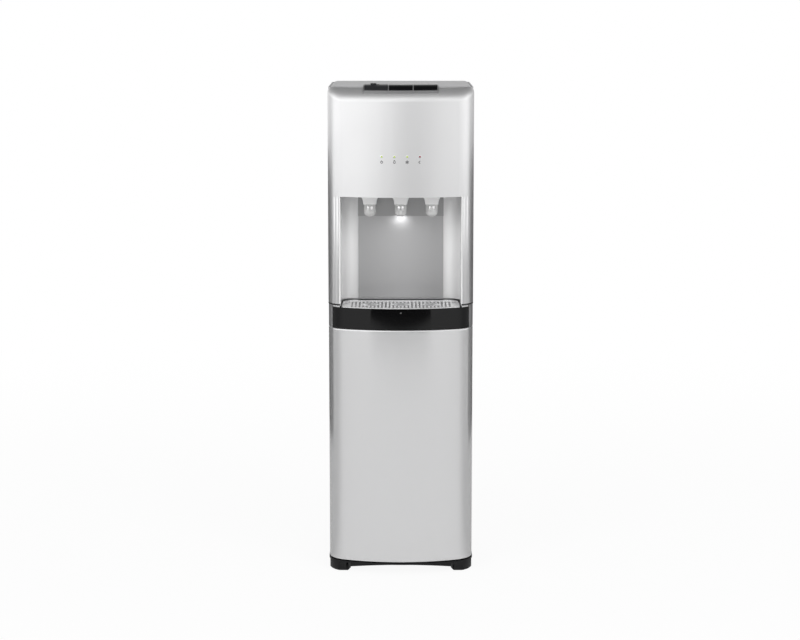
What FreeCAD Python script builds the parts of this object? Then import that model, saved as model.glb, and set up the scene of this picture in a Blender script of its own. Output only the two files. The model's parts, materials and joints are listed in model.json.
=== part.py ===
import FreeCAD, Part
import math
import os
import re
import Sketcher
from FreeCAD import Placement, Rotation, Vector

# Free-standing bottom load water cooler, in millimetres.
# Origin on the floor under the middle of the plan, +Z up, the front faces -Y.

doc = FreeCAD.newDocument("water_cooler")
sheet = doc.addObject("Spreadsheet::Sheet", "sizes")

size_rows = [
    # plan
    ("body_half", 155, "half the width over the base"),
    ("front_reach", 180, "axis to the middle of the bowed front"),
    ("front_curve", 330, "radius of the bowed front in plan"),
    ("corner_curve", 52, "radius of the front corners in plan"),
    ("cabinet_back", 160, "axis to the outside of the rear panels"),
    ("seam_depth", 79, "front reach to the seam between front mouldings and side panels"),
    ("seam_gap", 0.6, "gap at the seams of fixed covers"),
    ("upper_inset", 0.6, "upper front moulding inside the base outline"),
    ("door_inset", 1.2, "door and side panels inside the base outline"),
    ("moulding", 2.5, "wall of the plastic mouldings"),
    ("panel_steel", 0.8, "thickness of the steel panels"),
    ("flange", 14, "width of the folded rear flanges"),
    ("snug", 0.3, "gap between pieces that seat on each other"),
    # base and feet
    ("pad_thick", 2, "rubber foot pad"),
    ("foot_high", 20, "underside of the base floor above the ground"),
    ("base_thick", 3.5, "base floor"),
    ("foot_wide", 45, "width of a foot"),
    ("foot_inset", 2, "foot inside the outline of the sides"),
    ("foot_deep", 46, "front to back length of a foot"),
    ("foot_setback", 16, "front reach to the front of the front feet"),
    ("pad_trim", 2, "rubber pad inside its foot"),
    ("rim_high", 14, "upstand round the base floor"),
    ("rim_wall", 2, "wall of the upstand"),
    ("rim_short", 16, "rim kept clear of the rear corners"),
    # heights
    ("door_lift", 1.8, "gap between the base and the door"),
    ("door_tall", 503, "height of the door"),
    ("door_gap", 1.7, "gap between the door and the tray cradle"),
    ("cradle_over", 3.3, "tray cradle above the ends of the tray front"),
    ("alcove_tall", 228, "height of the dispensing alcove"),
    ("crown_tall", 230, "top edge of the alcove to the top of the cover"),
    ("cap_thick", 3, "top of the cover to its seam over the front moulding"),
    ("skirt_tall", 15, "top of the cover to its lower edge over the side panels"),
    ("brow_curve", 30, "rounding of the front top edge"),
    ("shoulder_curve", 14, "rounding of the side top edges"),
    # alcove
    ("pillar_wide", 27.4, "width of a pillar beside the alcove"),
    ("alcove_back", 37, "alcove back wall in front of the axis"),
    ("cove_curve", 35, "radius of the coves beside the back wall"),
    ("liner_wall", 3.9, "wall of the alcove liner"),
    ("liner_lift", 4, "alcove liner above the tray front"),
    ("splash_gap", 0.6, "gap between the flat back panel and the coves"),
    ("ledge_tall", 52, "height of the tap ledge"),
    ("ledge_thick", 5, "how far the tap ledge stands out"),
    ("night_half", 8, "half the width of the night light lens"),
    ("night_high", 7, "height of the night light lens"),
    ("splash_thick", 1.7, "thickness of the flat back panel"),
    # taps
    ("tap_pitch", 65.6, "distance between taps"),
    ("tap_setback", 75, "front reach to the tap centres"),
    ("spout_outer", 13, "outer radius of a spout"),
    ("spout_bore", 5, "bore radius of a spout"),
    ("spout_tall", 26.5, "height of a spout below its shoulder"),
    ("shroud_tall", 19.7, "alcove top to the shoulder of the spouts"),
    ("stem_round", 6.9, "radius of a spout's stem"),
    ("shroud_half", 21, "half the width of a tap shroud at its top"),
    ("shroud_nose", 3, "tap shroud in front of its spout"),
    ("valve_round", 12, "radius of a tap valve"),
    ("valve_high", 27, "height of a tap valve"),
    ("tap_hose", 4.5, "outer radius of the hoses to the taps"),
    ("hose_wall", 1.4, "wall of the hoses to the taps"),
    ("barb_high", 16, "tap valve's foot to its hose barb"),
    ("barb_long", 8, "length of a hose barb"),
    # lamps
    ("lamp_pitch", 26.6, "distance between indicator lenses"),
    ("lamp_lift", 85.4, "alcove top to the indicator lenses"),
    ("lamp_round", 1.7, "radius of an indicator lens"),
    ("board_back", 8.4, "front reach to the indicator board"),
    ("board_half", 56, "half the length of the indicator board"),
    ("board_tall", 20, "height of the indicator board"),
    ("post_round", 3, "radius of a board post"),
    ("board_thick", 1.6, "circuit board"),
    # tray
    ("side_strip", 11, "body half width to the ends of the tray front"),
    ("band_gap", 1, "gap at the ends of the tray front"),
    ("band_lift", 0.3, "tray front above the underside of the cradle"),
    ("band_tall", 43.7, "height of the tray front"),
    ("ear_rise", 3.4, "ends of the tray front above its middle"),
    ("band_thick", 3, "thickness of the tray front"),
    ("basin_side", 2.6, "basin inside the alcove sides"),
    ("basin_wall", 2.5, "wall of the drip basin"),
    ("basin_rear", 9, "basin in front of the alcove back wall"),
    ("basin_lift", 8, "underside of the cradle to the drip basin"),
    ("grille_thick", 2.9, "drip grille"),
    ("grille_rim", 5, "plain rim round the grille"),
    ("slot_pitch", 8, "distance between grille slots"),
    ("slot_wide", 4, "width of a grille slot"),
    ("slot_count", 27, "number of grille slots"),
    ("slot_back", 16, "plain strip behind the slots"),
    ("grille_back", 6, "grille in front of the alcove's back wall"),
    ("roundel", 19, "radius of the roundels under the taps"),
    ("roundel_rim", 4, "raised rim of a roundel"),
    ("roundel_hole", 4.2, "radius of the drain holes in a roundel"),
    ("roundel_spread", 7.5, "roundel centre to its drain holes"),
    ("runner_place", 80, "axis to the tray's runners"),
    ("runner_wide", 4, "width of a runner"),
    ("ledge_plate", 2.5, "plates of the tray cradle"),
    # door
    ("door_depth", 8, "space between the skins of the door"),
    ("liner_skin", 2, "inner skin of the door"),
    ("hinge_inset", 10.5, "hinge pins inside the body sides"),
    ("hinge_setback", 68, "front reach to the hinge pins"),
    ("pin_round", 3, "radius of a hinge pin"),
    ("pin_play", 0.06, "radial play of a hinge pin"),
    ("pin_long", 13, "length of a hinge pin"),
    ("boss_round", 6, "radius of the hinge bosses in the door"),
    ("bracket_thick", 1.2, "hinge bracket plate"),
    ("bracket_outer", 6, "bracket outside its pin"),
    ("bracket_inner", 18, "bracket inside its pin"),
    ("bracket_front", 7, "bracket in front of its pin"),
    ("bracket_rear", 26, "bracket behind its pin"),
    ("magnet_wide", 12, "width of a door magnet"),
    ("magnet_deep", 14, "depth of a door magnet"),
    ("magnet_tall", 30, "height of a door magnet"),
    ("magnet_low", 70, "door's bottom edge to the lower magnet"),
    ("magnet_high", 100, "door's top edge to the foot of the upper magnet"),
    # shelves
    ("shelf_lift", 16.7, "top of the door to the compressor shelf"),
    ("shelf_steel", 1.2, "thickness of the shelves"),
    ("shelf_setback", 0.5, "shelves behind the alcove liner"),
    ("bay_tall", 200, "height of the compressor bay"),
    ("shelf_fold", 12, "folded edge of the shelves"),
    # buttons
    ("strip_half", 78.4, "half the length of the button housing"),
    ("strip_inset", 5.6, "front of the button housing inside the base outline"),
    ("strip_wall", 1.2, "front and rear walls of the button housing"),
    ("strip_deep", 72.5, "front reach to the rear of the button housing"),
    ("strip_lift", 2.8, "housing proud of the top cover"),
    ("pad_lift", 3.6, "button pads proud of the top cover"),
    ("strip_tall", 29, "top of the cover to the underside of the button housing"),
    ("strip_floor", 2, "floor of the button housing"),
    ("button_pitch", 51.4, "distance between buttons"),
    ("button_gap", 2, "divider between two buttons"),
    ("button_play", 0.3, "gap round a button pad"),
    ("button_tall", 11, "top of the cover to the underside of the button pads"),
    ("spring_round", 5, "radius of a button spring"),
    ("spring_wire", 0.4, "radius of the spring wire"),
    ("spring_turns", 6, "turns of a button spring"),
    ("slider_half", 6, "half the width of the child lock slider"),
    ("slider_place", 57, "axis to the middle of the child lock slider"),
    ("slider_travel", 6, "travel of the child lock slider"),
    ("slider_proud", 3, "child lock slider above its button"),
    ("slider_groove", 1.2, "depth of the slider's groove"),
    ("slider_setback", 48, "front reach to the rear of the slider"),
    ("slider_deep", 18, "front to back length of the slider"),
    ("slider_play", 0.4, "play of the slider in its groove"),
    ("ridge_pitch", 3.5, "distance between the slider's finger grooves"),
    ("ridge_wide", 1, "width of a finger groove"),
    ("ridge_deep", 0.6, "depth of a finger groove"),
    ("switch_drop", 7, "button housing above the switch board's underside"),
    ("switch_board_half", 70, "half the length of the switch board"),
    ("key_half", 10, "half the width of a key switch"),
    ("key_deep", 10, "front to back length of a key switch"),
    ("key_setback", 43, "front reach to the rear of the key switches"),
    ("board_margin", 15, "switch board past the key switches"),
    # cooling and heating
    ("can_round", 56, "radius of the compressor can"),
    ("can_side", 68, "compressor centre left of the axis"),
    ("can_depth", 72, "compressor centre behind the axis"),
    ("can_lift", 55, "compressor shelf to the compressor's straight wall"),
    ("can_tall", 60, "height of the compressor's straight wall"),
    ("can_dome", 38, "height of the compressor domes"),
    ("grommet_high", 10, "compressor grommet"),
    ("grommet_round", 9, "radius of a compressor grommet"),
    ("grommet_side", 46, "compressor centre to the grommets, sideways"),
    ("grommet_depth", 38, "compressor centre to the grommets, front to back"),
    ("plate_half", 58, "half the width of the compressor's foot plate"),
    ("plate_deep", 50, "half the depth of the compressor's foot plate"),
    ("plate_thick", 2.5, "compressor's foot plate"),
    ("stool_half", 30, "half the width of the compressor's stool"),
    ("relay_half", 18, "half the width of the relay cover"),
    ("relay_out", 24, "relay cover outside the can"),
    ("relay_in", 12, "relay cover over the can's round"),
    ("relay_tall", 38, "height of the relay cover"),
    ("relay_drop", 8, "relay cover below the can's straight wall"),
    ("hot_round", 48, "radius of the hot tank"),
    ("hot_side", 72, "hot tank centre left of the axis"),
    ("hot_depth", 75, "hot tank centre behind the axis"),
    ("hot_lift", 17, "tank shelf to the hot tank"),
    ("hot_tall", 128, "height of the hot tank wall"),
    ("tank_dome", 14, "height of the tank ends"),
    ("tank_wall", 1, "wall of the tanks"),
    ("stand_inset", 8, "hot tank's stand inside its wall"),
    ("drain_high", 12, "hot tank's bottom to the drain"),
    ("drain_out", 12, "drain stub behind the rear panel"),
    ("drain_cap_wall", 4, "wall of the drain cap"),
    ("drain_cap_long", 15, "length of the drain cap"),
    ("heater_gap", 20, "hot tank's bottom to the heater band"),
    ("heater_tall", 36, "height of the heater band"),
    ("heater_thick", 3, "thickness of the heater band"),
    ("lid_inset", 12, "cold tank's lid inside its wall"),
    ("lid_rise", 6, "cold tank's lid above its dome"),
    ("port_round", 10, "radius of the cold tank's port"),
    ("foam_short", 10, "foam's top below the cold tank's wall"),
    ("cold_round", 55.7, "radius of the cold tank"),
    ("cold_side", 62, "cold tank centre right of the axis"),
    ("cold_depth", 62, "cold tank centre behind the axis"),
    ("cold_lift", 20, "tank shelf to the cold tank"),
    ("cold_tall", 170, "height of the cold tank wall"),
    ("foam_wall", 16, "insulation round the cold tank"),
    ("pump_round", 20, "radius of the water pump"),
    ("pump_inset", 37, "pump centre inside the body side"),
    ("pump_depth", 52, "pump centre behind the axis"),
    ("pump_high", 104, "height of the pump"),
    ("pump_head_high", 31, "height of the pump's head"),
    ("inlet_drop", 14, "pump's top to its inlet"),
    ("hose_round", 5, "outer radius of the supply hose"),
    ("probe_round", 6, "radius of the bottle probe"),
    ("probe_cap", 26, "radius of the bottle cap on the probe"),
    ("probe_depth", 126, "probe centre behind the axis"),
    ("probe_lift", 28.5, "base floor to the tip of the probe"),
    ("probe_drop", 58.3, "top of the door to the underside of the probe's cap"),
    ("cap_high", 18, "height of the cap on the probe"),
    ("cap_wall", 2, "wall of the cap on the probe"),
    ("neck_wall", 3, "wall of the neck above the cap"),
    ("neck_high", 22, "height of the neck above the probe's top"),
    ("slot_up", 12, "probe's tip to its inlet hole"),
    ("holder_half", 12, "half the width of the probe holder"),
    ("holder_front", 10, "probe holder in front of the probe"),
    ("holder_lift", 148, "tip of the probe to the holder's clip"),
    ("holder_tall", 14, "height of the holder's clip"),
    ("cup_tall", 9.7, "height of the holder's foot"),
    ("power_rear", 150, "axis to the rear of the power board"),
    ("power_deep", 70, "front to back length of the power board"),
    ("power_low", 40, "compressor shelf to the power board"),
    ("power_tall", 120, "height of the power board"),
    ("power_stand", 6, "power board inside the side panel"),
    ("power_post", 6, "width of a power board post"),
    ("drain_round", 6, "radius of the drain stub"),
    # condenser
    ("coil_round", 2.4, "radius of the condenser tube"),
    ("coil_stand", 15.9, "rear panels to the condenser tube"),
    ("coil_half", 118, "half the width of the condenser"),
    ("coil_lift", 68.5, "base floor to the lowest run of the condenser"),
    ("coil_pitch", 32, "distance between condenser runs"),
    ("coil_loops", 6, "number of full loops of the condenser"),
    ("wire_round", 0.8, "radius of a condenser wire"),
    ("wire_pitch", 12, "distance between condenser wires"),
    ("wire_count", 19, "number of condenser wires on each side"),
    ("riser_left", 100, "condenser riser left of the axis"),
    ("riser_right", 134, "condenser riser right of the axis"),
    ("riser_lift", 35, "compressor shelf to the condenser's ends"),
    ("clip_wide", 10, "width of a condenser clip"),
    ("clip_tall", 14, "height of a condenser clip"),
    ("clip_place", 60, "axis to the condenser clips"),
    ("coil_bend_gap", 0.5, "condenser bend inside half its pitch"),
    ("wire_over", 10, "wires past the outer condenser runs"),
    ("passage_play", 2, "clearance of the risers in the cover"),
    # rear fittings
    ("vent_wide", 96, "width of a rear vent slot"),
    ("vent_high", 5, "height of a rear vent slot"),
    ("vent_pitch", 15, "distance between rear vent slots"),
    ("vent_rows", 9, "rows of rear vent slots"),
    ("vent_inner", 14, "axis to the inner ends of the vent slots"),
    ("vent_start", 50, "compressor shelf to the lowest vent slot"),
    ("screw_inset", 8, "rear screws inside the body sides"),
    ("screw_long", 6.5, "length of a screw's shank"),
    ("screw_head_thick", 1.8, "height of a screw's head"),
    ("switch_side", 92, "middle of the switch plate right of the axis"),
    ("switch_lift", 180, "tank shelf to the middle of the switch plate"),
    ("switch_pitch", 25, "distance between rear switches"),
    ("switch_half", 42, "half the width of the switch plate"),
    ("switch_tall", 18, "half the height of the switch plate"),
    ("switch_thick", 2.5, "switch plate"),
    ("tub_half", 38.7, "half the width of the box behind the switch plate"),
    ("tub_tall", 15, "half the height of the box behind the switch plate"),
    ("tub_deep", 20, "depth of the box behind the switch plate"),
    ("rocker_half", 8.5, "half the width of a rocker"),
    ("rocker_reach", 10.8, "half the height of a rocker"),
    ("rocker_tilt", 8, "tilt of a rocker from its middle"),
    ("rocker_root", 2.5, "rocker inside its pivot"),
    ("rocker_tip", 4.2, "ends of a rocker outside its pivot"),
    ("rocker_waist", 3.2, "middle of a rocker outside its pivot"),
    ("rocker_taper", 1.8, "rocker narrower inside than outside"),
    ("rocker_pivot", 1, "rocker pivots behind the rear panels"),
    ("well_depth", 3, "rocker well inside the rear panels"),
    ("gland_side", 105, "mains inlet right of the axis"),
    ("gland_lift", 17, "compressor shelf to the mains inlet"),
    ("gland_bore", 3.6, "bore radius of the mains inlet"),
    ("gland_wall", 3, "wall of the mains inlet"),
    ("gland_rim", 5.4, "rim of the mains inlet round its bore"),
    ("gland_rim_thick", 4, "thickness of the mains inlet's rim"),
    ("gland_inside", 5, "mains inlet inside the rear panels"),
    ("screw_round", 2, "radius of a screw's shank"),
    ("screw_head", 3.6, "radius of a screw's head"),
]

for line, (alias, number, note) in enumerate(size_rows, start=1):
    sheet.set(f"A{line}", alias)
    sheet.set(f"B{line}", str(number))
    sheet.set(f"C{line}", note)
    sheet.setAlias(f"B{line}", alias)
doc.recompute()

# places and heights that follow from the sizes
derived = {
    "side_seam": "front_reach - seam_depth",
    "foot_outer": "body_half - foot_inset",
    "foot_inner": "foot_outer - foot_wide",
    "door_low": "foot_high + base_thick + door_lift",
    "door_top": "door_low + door_tall",
    "cradle_low": "door_top + door_gap",
    "band_low": "cradle_low + band_lift",
    "band_top": "band_low + band_tall",
    "ear_top": "band_top + ear_rise",
    "cradle_top": "ear_top + cradle_over",
    "pillar_low": "cradle_top + snug",
    "liner_low": "band_top + liner_lift",
    "alcove_top": "pillar_low + alcove_tall",
    "body_top": "alcove_top + crown_tall",
    "cap_seam": "body_top - cap_thick",
    "cover_skirt": "body_top - skirt_tall",
    "alcove_half": "body_half - pillar_wide",
    "splash_half": "alcove_half - cove_curve - splash_gap",
    "ledge_low": "alcove_top - ledge_tall",
    "tap_depth": "front_reach - tap_setback",
    "spout_top": "alcove_top - shroud_tall",
    "spout_low": "spout_top - spout_tall",
    "lamp_high": "alcove_top + lamp_lift",
    "band_half": "body_half - side_strip",
    "basin_half": "alcove_half - basin_side",
    "basin_back": "alcove_back + basin_rear",
    "basin_low": "cradle_low + basin_lift",
    "hinge_side": "body_half - hinge_inset",
    "hinge_depth": "front_reach - hinge_setback",
    "shelf_low": "door_top + shelf_lift",
    "shelf_front": "alcove_back - liner_wall - shelf_setback",
    "tank_shelf_low": "shelf_low + bay_tall",
    "strip_back": "front_reach - strip_deep",
    "strip_low": "body_top - strip_tall",
    "button_low": "body_top - button_tall",
    "slider_rear": "front_reach - slider_setback",
    "key_rear": "front_reach - key_setback",
    "can_low": "shelf_low + can_lift",
    "can_high": "can_low + can_tall",
    "hot_low": "tank_shelf_low + hot_lift",
    "hot_top": "hot_low + hot_tall",
    "cold_low": "tank_shelf_low + cold_lift",
    "cold_top": "cold_low + cold_tall",
    "pump_side": "body_half - pump_inset",
    "probe_low": "foot_high + base_thick + probe_lift",
    "probe_top": "door_top - probe_drop",
    "holder_low": "probe_low + holder_lift",
    "coil_depth": "cabinet_back + coil_stand",
    "coil_low": "foot_high + base_thick + coil_lift",
    "riser_top": "shelf_low + riser_lift",
    "screw_side": "body_half - screw_inset",
    "switch_high": "tank_shelf_low + switch_lift",
    "gland_high": "shelf_low + gland_lift",
}

aliases = {row[0] for row in size_rows}
nodes = {}


# ---------- helpers ----------

def spelled(text):
    """The formula with each derived name written out in the sizes that it follows from."""
    def spell(word):
        name = word.group()
        return f"({spelled(derived[name])})" if name in derived else name
    return re.sub(r"[A-Za-z_]\w*", spell, str(text))


def linked(text):
    """The formula with each size pointing at the sheet."""
    return re.sub(r"[A-Za-z_]\w*", lambda word: f"sizes.{word.group()}" if word.group() in aliases
                  else word.group(), spelled(text))


def value(text):
    return float(sheet.evalExpression(spelled(text)))


def bind(item, **links):
    for prop, text in links.items():
        item.setExpression(prop, linked(text))


def place(item, x="0", y="0", z="0"):
    for letter, text in zip("xyz", (x, y, z)):
        item.setExpression(f"Placement.Base.{letter}", linked(text))


def both_sides(half):
    return f"-({half})", f"{half}"


def block(name, x, y, z):
    """A box between two corners, each range given as a pair of formulas."""
    item = doc.addObject("Part::Box", name)
    bind(item, Length=f"({x[1]}) - ({x[0]})", Width=f"({y[1]}) - ({y[0]})", Height=f"({z[1]}) - ({z[0]})")
    place(item, x[0], y[0], z[0])
    return item


turn_to = {
    "Z": Rotation(),
    "X": Rotation(Vector(0, 1, 0), 90),
    "Y": Rotation(Vector(1, 0, 0), -90),
}


def rod(name, radius, start, length, axis="Z"):
    item = doc.addObject("Part::Cylinder", name)
    item.Placement = Placement(Vector(), turn_to[axis])
    bind(item, Radius=radius, Height=length)
    place(item, *start)
    return item


def dome(name, radius, rise, centre):
    item = doc.addObject("Part::Ellipsoid", name)
    item.Angle1 = -90
    item.Angle2 = 90
    bind(item, Radius1=rise, Radius2=radius, Radius3=radius)
    place(item, *centre)
    return item


def join(name, *items):
    item = doc.addObject("Part::MultiFuse", name)
    item.Shapes = list(items)
    item.Refine = True
    return item


def gather(name, items):
    item = doc.addObject("Part::Compound", name)
    item.Links = list(items)
    return item


def cut(name, base, *tools):
    tool = tools[0] if len(tools) == 1 else gather(name + "_tools", tools)
    item = doc.addObject("Part::Cut", name)
    item.Base = base
    item.Tool = tool
    item.Refine = True
    return item


def overlap(name, *items):
    item = doc.addObject("Part::MultiCommon", name)
    item.Shapes = list(items)
    item.Refine = True
    return item


def node(label, item):
    item.Label = label
    nodes[label] = item
    return item


def new_sketch(body, name, role):
    sketch = body.newObject("Sketcher::SketchObject", name)
    plane = next(item for item in body.Origin.OriginFeatures if item.Role == role)
    sketch.AttachmentSupport = [(plane, "")]
    sketch.MapMode = "FlatFace"
    return sketch


def rule(sketch, *terms, text=None):
    """One constraint, tied to a formula where it holds a size."""
    if text is None:
        return sketch.addConstraint(Sketcher.Constraint(*terms))
    index = sketch.addConstraint(Sketcher.Constraint(*terms, value(text)))
    sketch.setExpression(f"Constraints[{index}]", linked(text))
    return index


def pin_point(sketch, curve, end, x=None, y=None):
    """Holds one end of a curve at its distances from the sketch's origin."""
    for kind, text, axis in (("DistanceX", x, -2), ("DistanceY", y, -1)):
        if text is None:
            continue
        number = value(text)
        if abs(number) < 1e-9:
            rule(sketch, "PointOnObject", curve, end, axis)
        elif number > 0:
            rule(sketch, kind, -1, 1, curve, end, text=text)
        else:
            rule(sketch, kind, curve, end, -1, 1, text=f"-({text})")


def polygon(sketch, points):
    corners = [Vector(value(x), value(y), 0) for x, y in points]
    for index, corner in enumerate(corners):
        sketch.addGeometry(Part.LineSegment(corner, corners[(index + 1) % len(corners)]))
    for index, (x, y) in enumerate(points):
        rule(sketch, "Coincident", index, 2, (index + 1) % len(points), 1)
        pin_point(sketch, index, 1, x, y)


def pad(body, sketch, length, midplane=False):
    feature = body.newObject("PartDesign::Pad", body.Name + "_pad")
    feature.Profile = sketch
    feature.Midplane = midplane
    bind(feature, Length=length)
    return feature


def dee(name, inset, low, high, back="cabinet_back"):
    """The bowed plan outline of the cooler, set in by inset, between two heights."""
    body = doc.addObject("PartDesign::Body", name)
    sketch = new_sketch(body, name + "_plan", "XY_Plane")
    half_text = f"body_half - ({inset})"
    curve_text = f"front_curve - ({inset})"
    corner_text = f"corner_curve - ({inset})"
    centre_text = "front_curve - front_reach"
    half = value(half_text)
    curve = value(curve_text)
    corner = value(corner_text)
    centre = value(centre_text)
    rear = value(back)
    side = half - corner
    turn = centre - math.sqrt((curve - corner) ** 2 - side ** 2)
    lean = math.atan2(side, centre - turn)
    down = 1.5 * math.pi
    flat = Vector(0, 0, 1)
    sketch.addGeometry(Part.LineSegment(Vector(half, turn, 0), Vector(half, rear, 0)))
    sketch.addGeometry(Part.LineSegment(Vector(half, rear, 0), Vector(-half, rear, 0)))
    sketch.addGeometry(Part.LineSegment(Vector(-half, rear, 0), Vector(-half, turn, 0)))
    for x, y, radius, begin, end in ((-side, turn, corner, math.pi, down - lean),
                                     (0, centre, curve, down - lean, down + lean),
                                     (side, turn, corner, down + lean, 2 * math.pi)):
        sketch.addGeometry(Part.ArcOfCircle(Part.Circle(Vector(x, y, 0), flat, radius), begin, end))
    rule(sketch, "Coincident", 0, 2, 1, 1)
    rule(sketch, "Coincident", 1, 2, 2, 1)
    for first, first_end, second, second_end in ((2, 2, 3, 1), (3, 2, 4, 1), (4, 2, 5, 1), (5, 2, 0, 1)):
        rule(sketch, "Tangent", first, first_end, second, second_end)
    rule(sketch, "Vertical", 0)
    rule(sketch, "Vertical", 2)
    rule(sketch, "Horizontal", 1)
    rule(sketch, "Equal", 3, 5)
    rule(sketch, "PointOnObject", 4, 3, -2)
    rule(sketch, "Radius", 4, text=curve_text)
    rule(sketch, "Radius", 3, text=corner_text)
    pin_point(sketch, 4, 3, y=centre_text)
    pin_point(sketch, 0, 2, x=half_text, y=back)
    pin_point(sketch, 1, 2, x=f"-({half_text})")
    pad(body, sketch, f"({high}) - ({low})")
    place(body, z=low)
    return body


def coved(name, half, front, back, curve, low, high):
    """A straight-fronted plan with its two rear corners rounded. front and back are minus Y."""
    body = doc.addObject("PartDesign::Body", name)
    sketch = new_sketch(body, name + "_plan", "XY_Plane")
    wide = value(half)
    near = -value(front)
    far = -value(back)
    bend = value(curve)
    flat = Vector(0, 0, 1)
    quarter = math.pi / 2
    start = far - bend
    right_cove = Part.Circle(Vector(wide - bend, start, 0), flat, bend)
    left_cove = Part.Circle(Vector(bend - wide, start, 0), flat, bend)
    sketch.addGeometry(Part.LineSegment(Vector(-wide, near, 0), Vector(wide, near, 0)))
    sketch.addGeometry(Part.LineSegment(Vector(wide, near, 0), Vector(wide, start, 0)))
    sketch.addGeometry(Part.ArcOfCircle(right_cove, 0, quarter))
    sketch.addGeometry(Part.LineSegment(Vector(wide - bend, far, 0), Vector(bend - wide, far, 0)))
    sketch.addGeometry(Part.ArcOfCircle(left_cove, quarter, 2 * quarter))
    sketch.addGeometry(Part.LineSegment(Vector(-wide, start, 0), Vector(-wide, near, 0)))
    rule(sketch, "Coincident", 0, 2, 1, 1)
    rule(sketch, "Coincident", 5, 2, 0, 1)
    for first, second in ((1, 2), (2, 3), (3, 4), (4, 5)):
        rule(sketch, "Tangent", first, 2, second, 1)
    for line in (0, 3):
        rule(sketch, "Horizontal", line)
    for line in (1, 5):
        rule(sketch, "Vertical", line)
    rule(sketch, "Equal", 2, 4)
    rule(sketch, "Radius", 2, text=curve)
    pin_point(sketch, 0, 1, x=f"-({half})", y=f"-({front})")
    pin_point(sketch, 0, 2, x=half)
    pin_point(sketch, 3, 1, y=f"-({back})")
    pad(body, sketch, f"({high}) - ({low})")
    place(body, z=low)
    return body


def rounded_crown(name, form, top, front_radius, side_radius):
    """Rounds the top edges: the front by one radius, the sides by another, blended at the corners."""
    doc.recompute()
    level = value(top)
    brow = value(front_radius)
    shoulder = value(side_radius)
    edge_half = max(abs(vertex.X) for vertex in form.Shape.Vertexes)
    rear = max(vertex.Y for vertex in form.Shape.Vertexes)
    chosen = []
    for index, edge in enumerate(form.Shape.Edges, start=1):
        ends = [vertex.Point for vertex in edge.Vertexes]
        if any(abs(point.z - level) > 1e-6 for point in ends):
            continue
        if all(abs(point.y - rear) < 1e-6 for point in ends):
            continue
        radii = [shoulder if abs(point.x) > edge_half - 1e-6 else brow for point in ends]
        chosen.append((index, *radii))
    item = doc.addObject("Part::Fillet", name)
    item.Base = form
    item.Edges = chosen
    return item


def bent_path(points, bend):
    """Straight runs joined by tangent arcs of one radius."""
    edges = []
    start = points[0]
    for before, corner, after in zip(points, points[1:], points[2:]):
        arrive = (corner - before).normalize()
        leave = (after - corner).normalize()
        half_turn = arrive.getAngle(leave) / 2
        reach = bend * math.tan(half_turn)
        entry = corner - arrive * reach
        exit_point = corner + leave * reach
        inward = (leave - arrive).normalize()
        middle = corner + inward * (bend / math.cos(half_turn) - bend)
        edges.append(Part.LineSegment(start, entry).toShape())
        edges.append(Part.Arc(entry, middle, exit_point).toShape())
        start = exit_point
    edges.append(Part.LineSegment(start, points[-1]).toShape())
    return Part.Wire(edges)


def tube_along(points, bend, radius):
    path = bent_path(points, bend)
    heading = points[1] - points[0]
    section = Part.Wire([Part.Circle(points[0], heading, radius).toShape()])
    solid = path.makePipeShell([section], True, False)
    wanted = math.pi * radius ** 2 * path.Length
    print(f"tube: length {path.Length:.1f}, volume against section times length {solid.Volume / wanted:.4f}")
    return solid


def coil_tube(radius, rise, turns, wire):
    """A helical wire made of tangent quarter arcs, its axis on Z from the origin."""
    count = 4 * int(turns)
    corner_round = radius * math.sqrt(2)
    corners = []
    for index in range(count + 2):
        angle = (index - 0.5) * math.pi / 2
        corners.append(Vector(corner_round * math.cos(angle), corner_round * math.sin(angle),
                              rise * (index - 0.5) / count))
    edges = []
    for before, corner, after in zip(corners, corners[1:], corners[2:]):
        entry = (before + corner) * 0.5
        exit_point = (corner + after) * 0.5
        arrive = (corner - before).normalize()
        leave = (after - corner).normalize()
        half_turn = arrive.getAngle(leave) / 2
        bend = (corner - entry).Length / math.tan(half_turn)
        middle = corner + (leave - arrive).normalize() * (bend / math.cos(half_turn) - bend)
        edges.append(Part.Arc(entry, middle, exit_point).toShape())
    heading = corners[1] - corners[0]
    section = Part.Wire([Part.Circle((corners[0] + corners[1]) * 0.5, heading, wire).toShape()])
    path = Part.Wire(edges)
    solid = path.makePipeShell([section], True, False)
    gap = rise / turns - 2 * wire
    wanted = math.pi * wire ** 2 * path.Length
    print(f"coil: least gap {gap:.2f}, volume against section times length {solid.Volume / wanted:.4f}")
    return solid


def front_line(inset, x):
    """Y of the bowed front at a distance x from the middle, for an outline set in by inset."""
    return (f"front_curve - front_reach - sqrt((front_curve - ({inset}))^2 - ({x})^2)")


# ---------- shared heights, sides and places ----------

base_top = "foot_high + base_thick"
skin_half = "body_half - door_inset"
panel_inner = "body_half - door_inset - panel_steel"
panel_front = "-(side_seam - seam_gap)"
far = "front_reach + 40"
rear_inner = "cabinet_back - panel_steel"
flange_back = "cabinet_back - panel_steel - 0.1"
shelf_top = "shelf_low + shelf_steel"
tank_floor = "tank_shelf_low + shelf_steel"
tap_places = {"hot": "-tap_pitch", "room": "0", "cold": "tap_pitch"}
screw_ends = {
    row: [(side, height) for side in ("-screw_side", "screw_side") for height in heights]
    for row, heights in (("lower", (f"{base_top} + 36.5", "shelf_low / 2 + 17.5", "shelf_low - 20")),
                         ("vent", ("shelf_low + 11", "tank_shelf_low - 13")),
                         ("upper", ("tank_shelf_low + 15", "cover_skirt - 24")))
}


def through(name, radius, x, z):
    """A rod that runs right through the rear panels."""
    return rod(name, radius, (x, "cabinet_back - 8", z), "16", "Y")


def screw_holes(name, rows):
    spots = [spot for row in rows for spot in screw_ends[row]]
    return gather(name, [through(f"{name}_{index}", "screw_round + 0.1", x, z)
                         for index, (x, z) in enumerate(spots)])


# ---------- base and feet ----------

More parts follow.
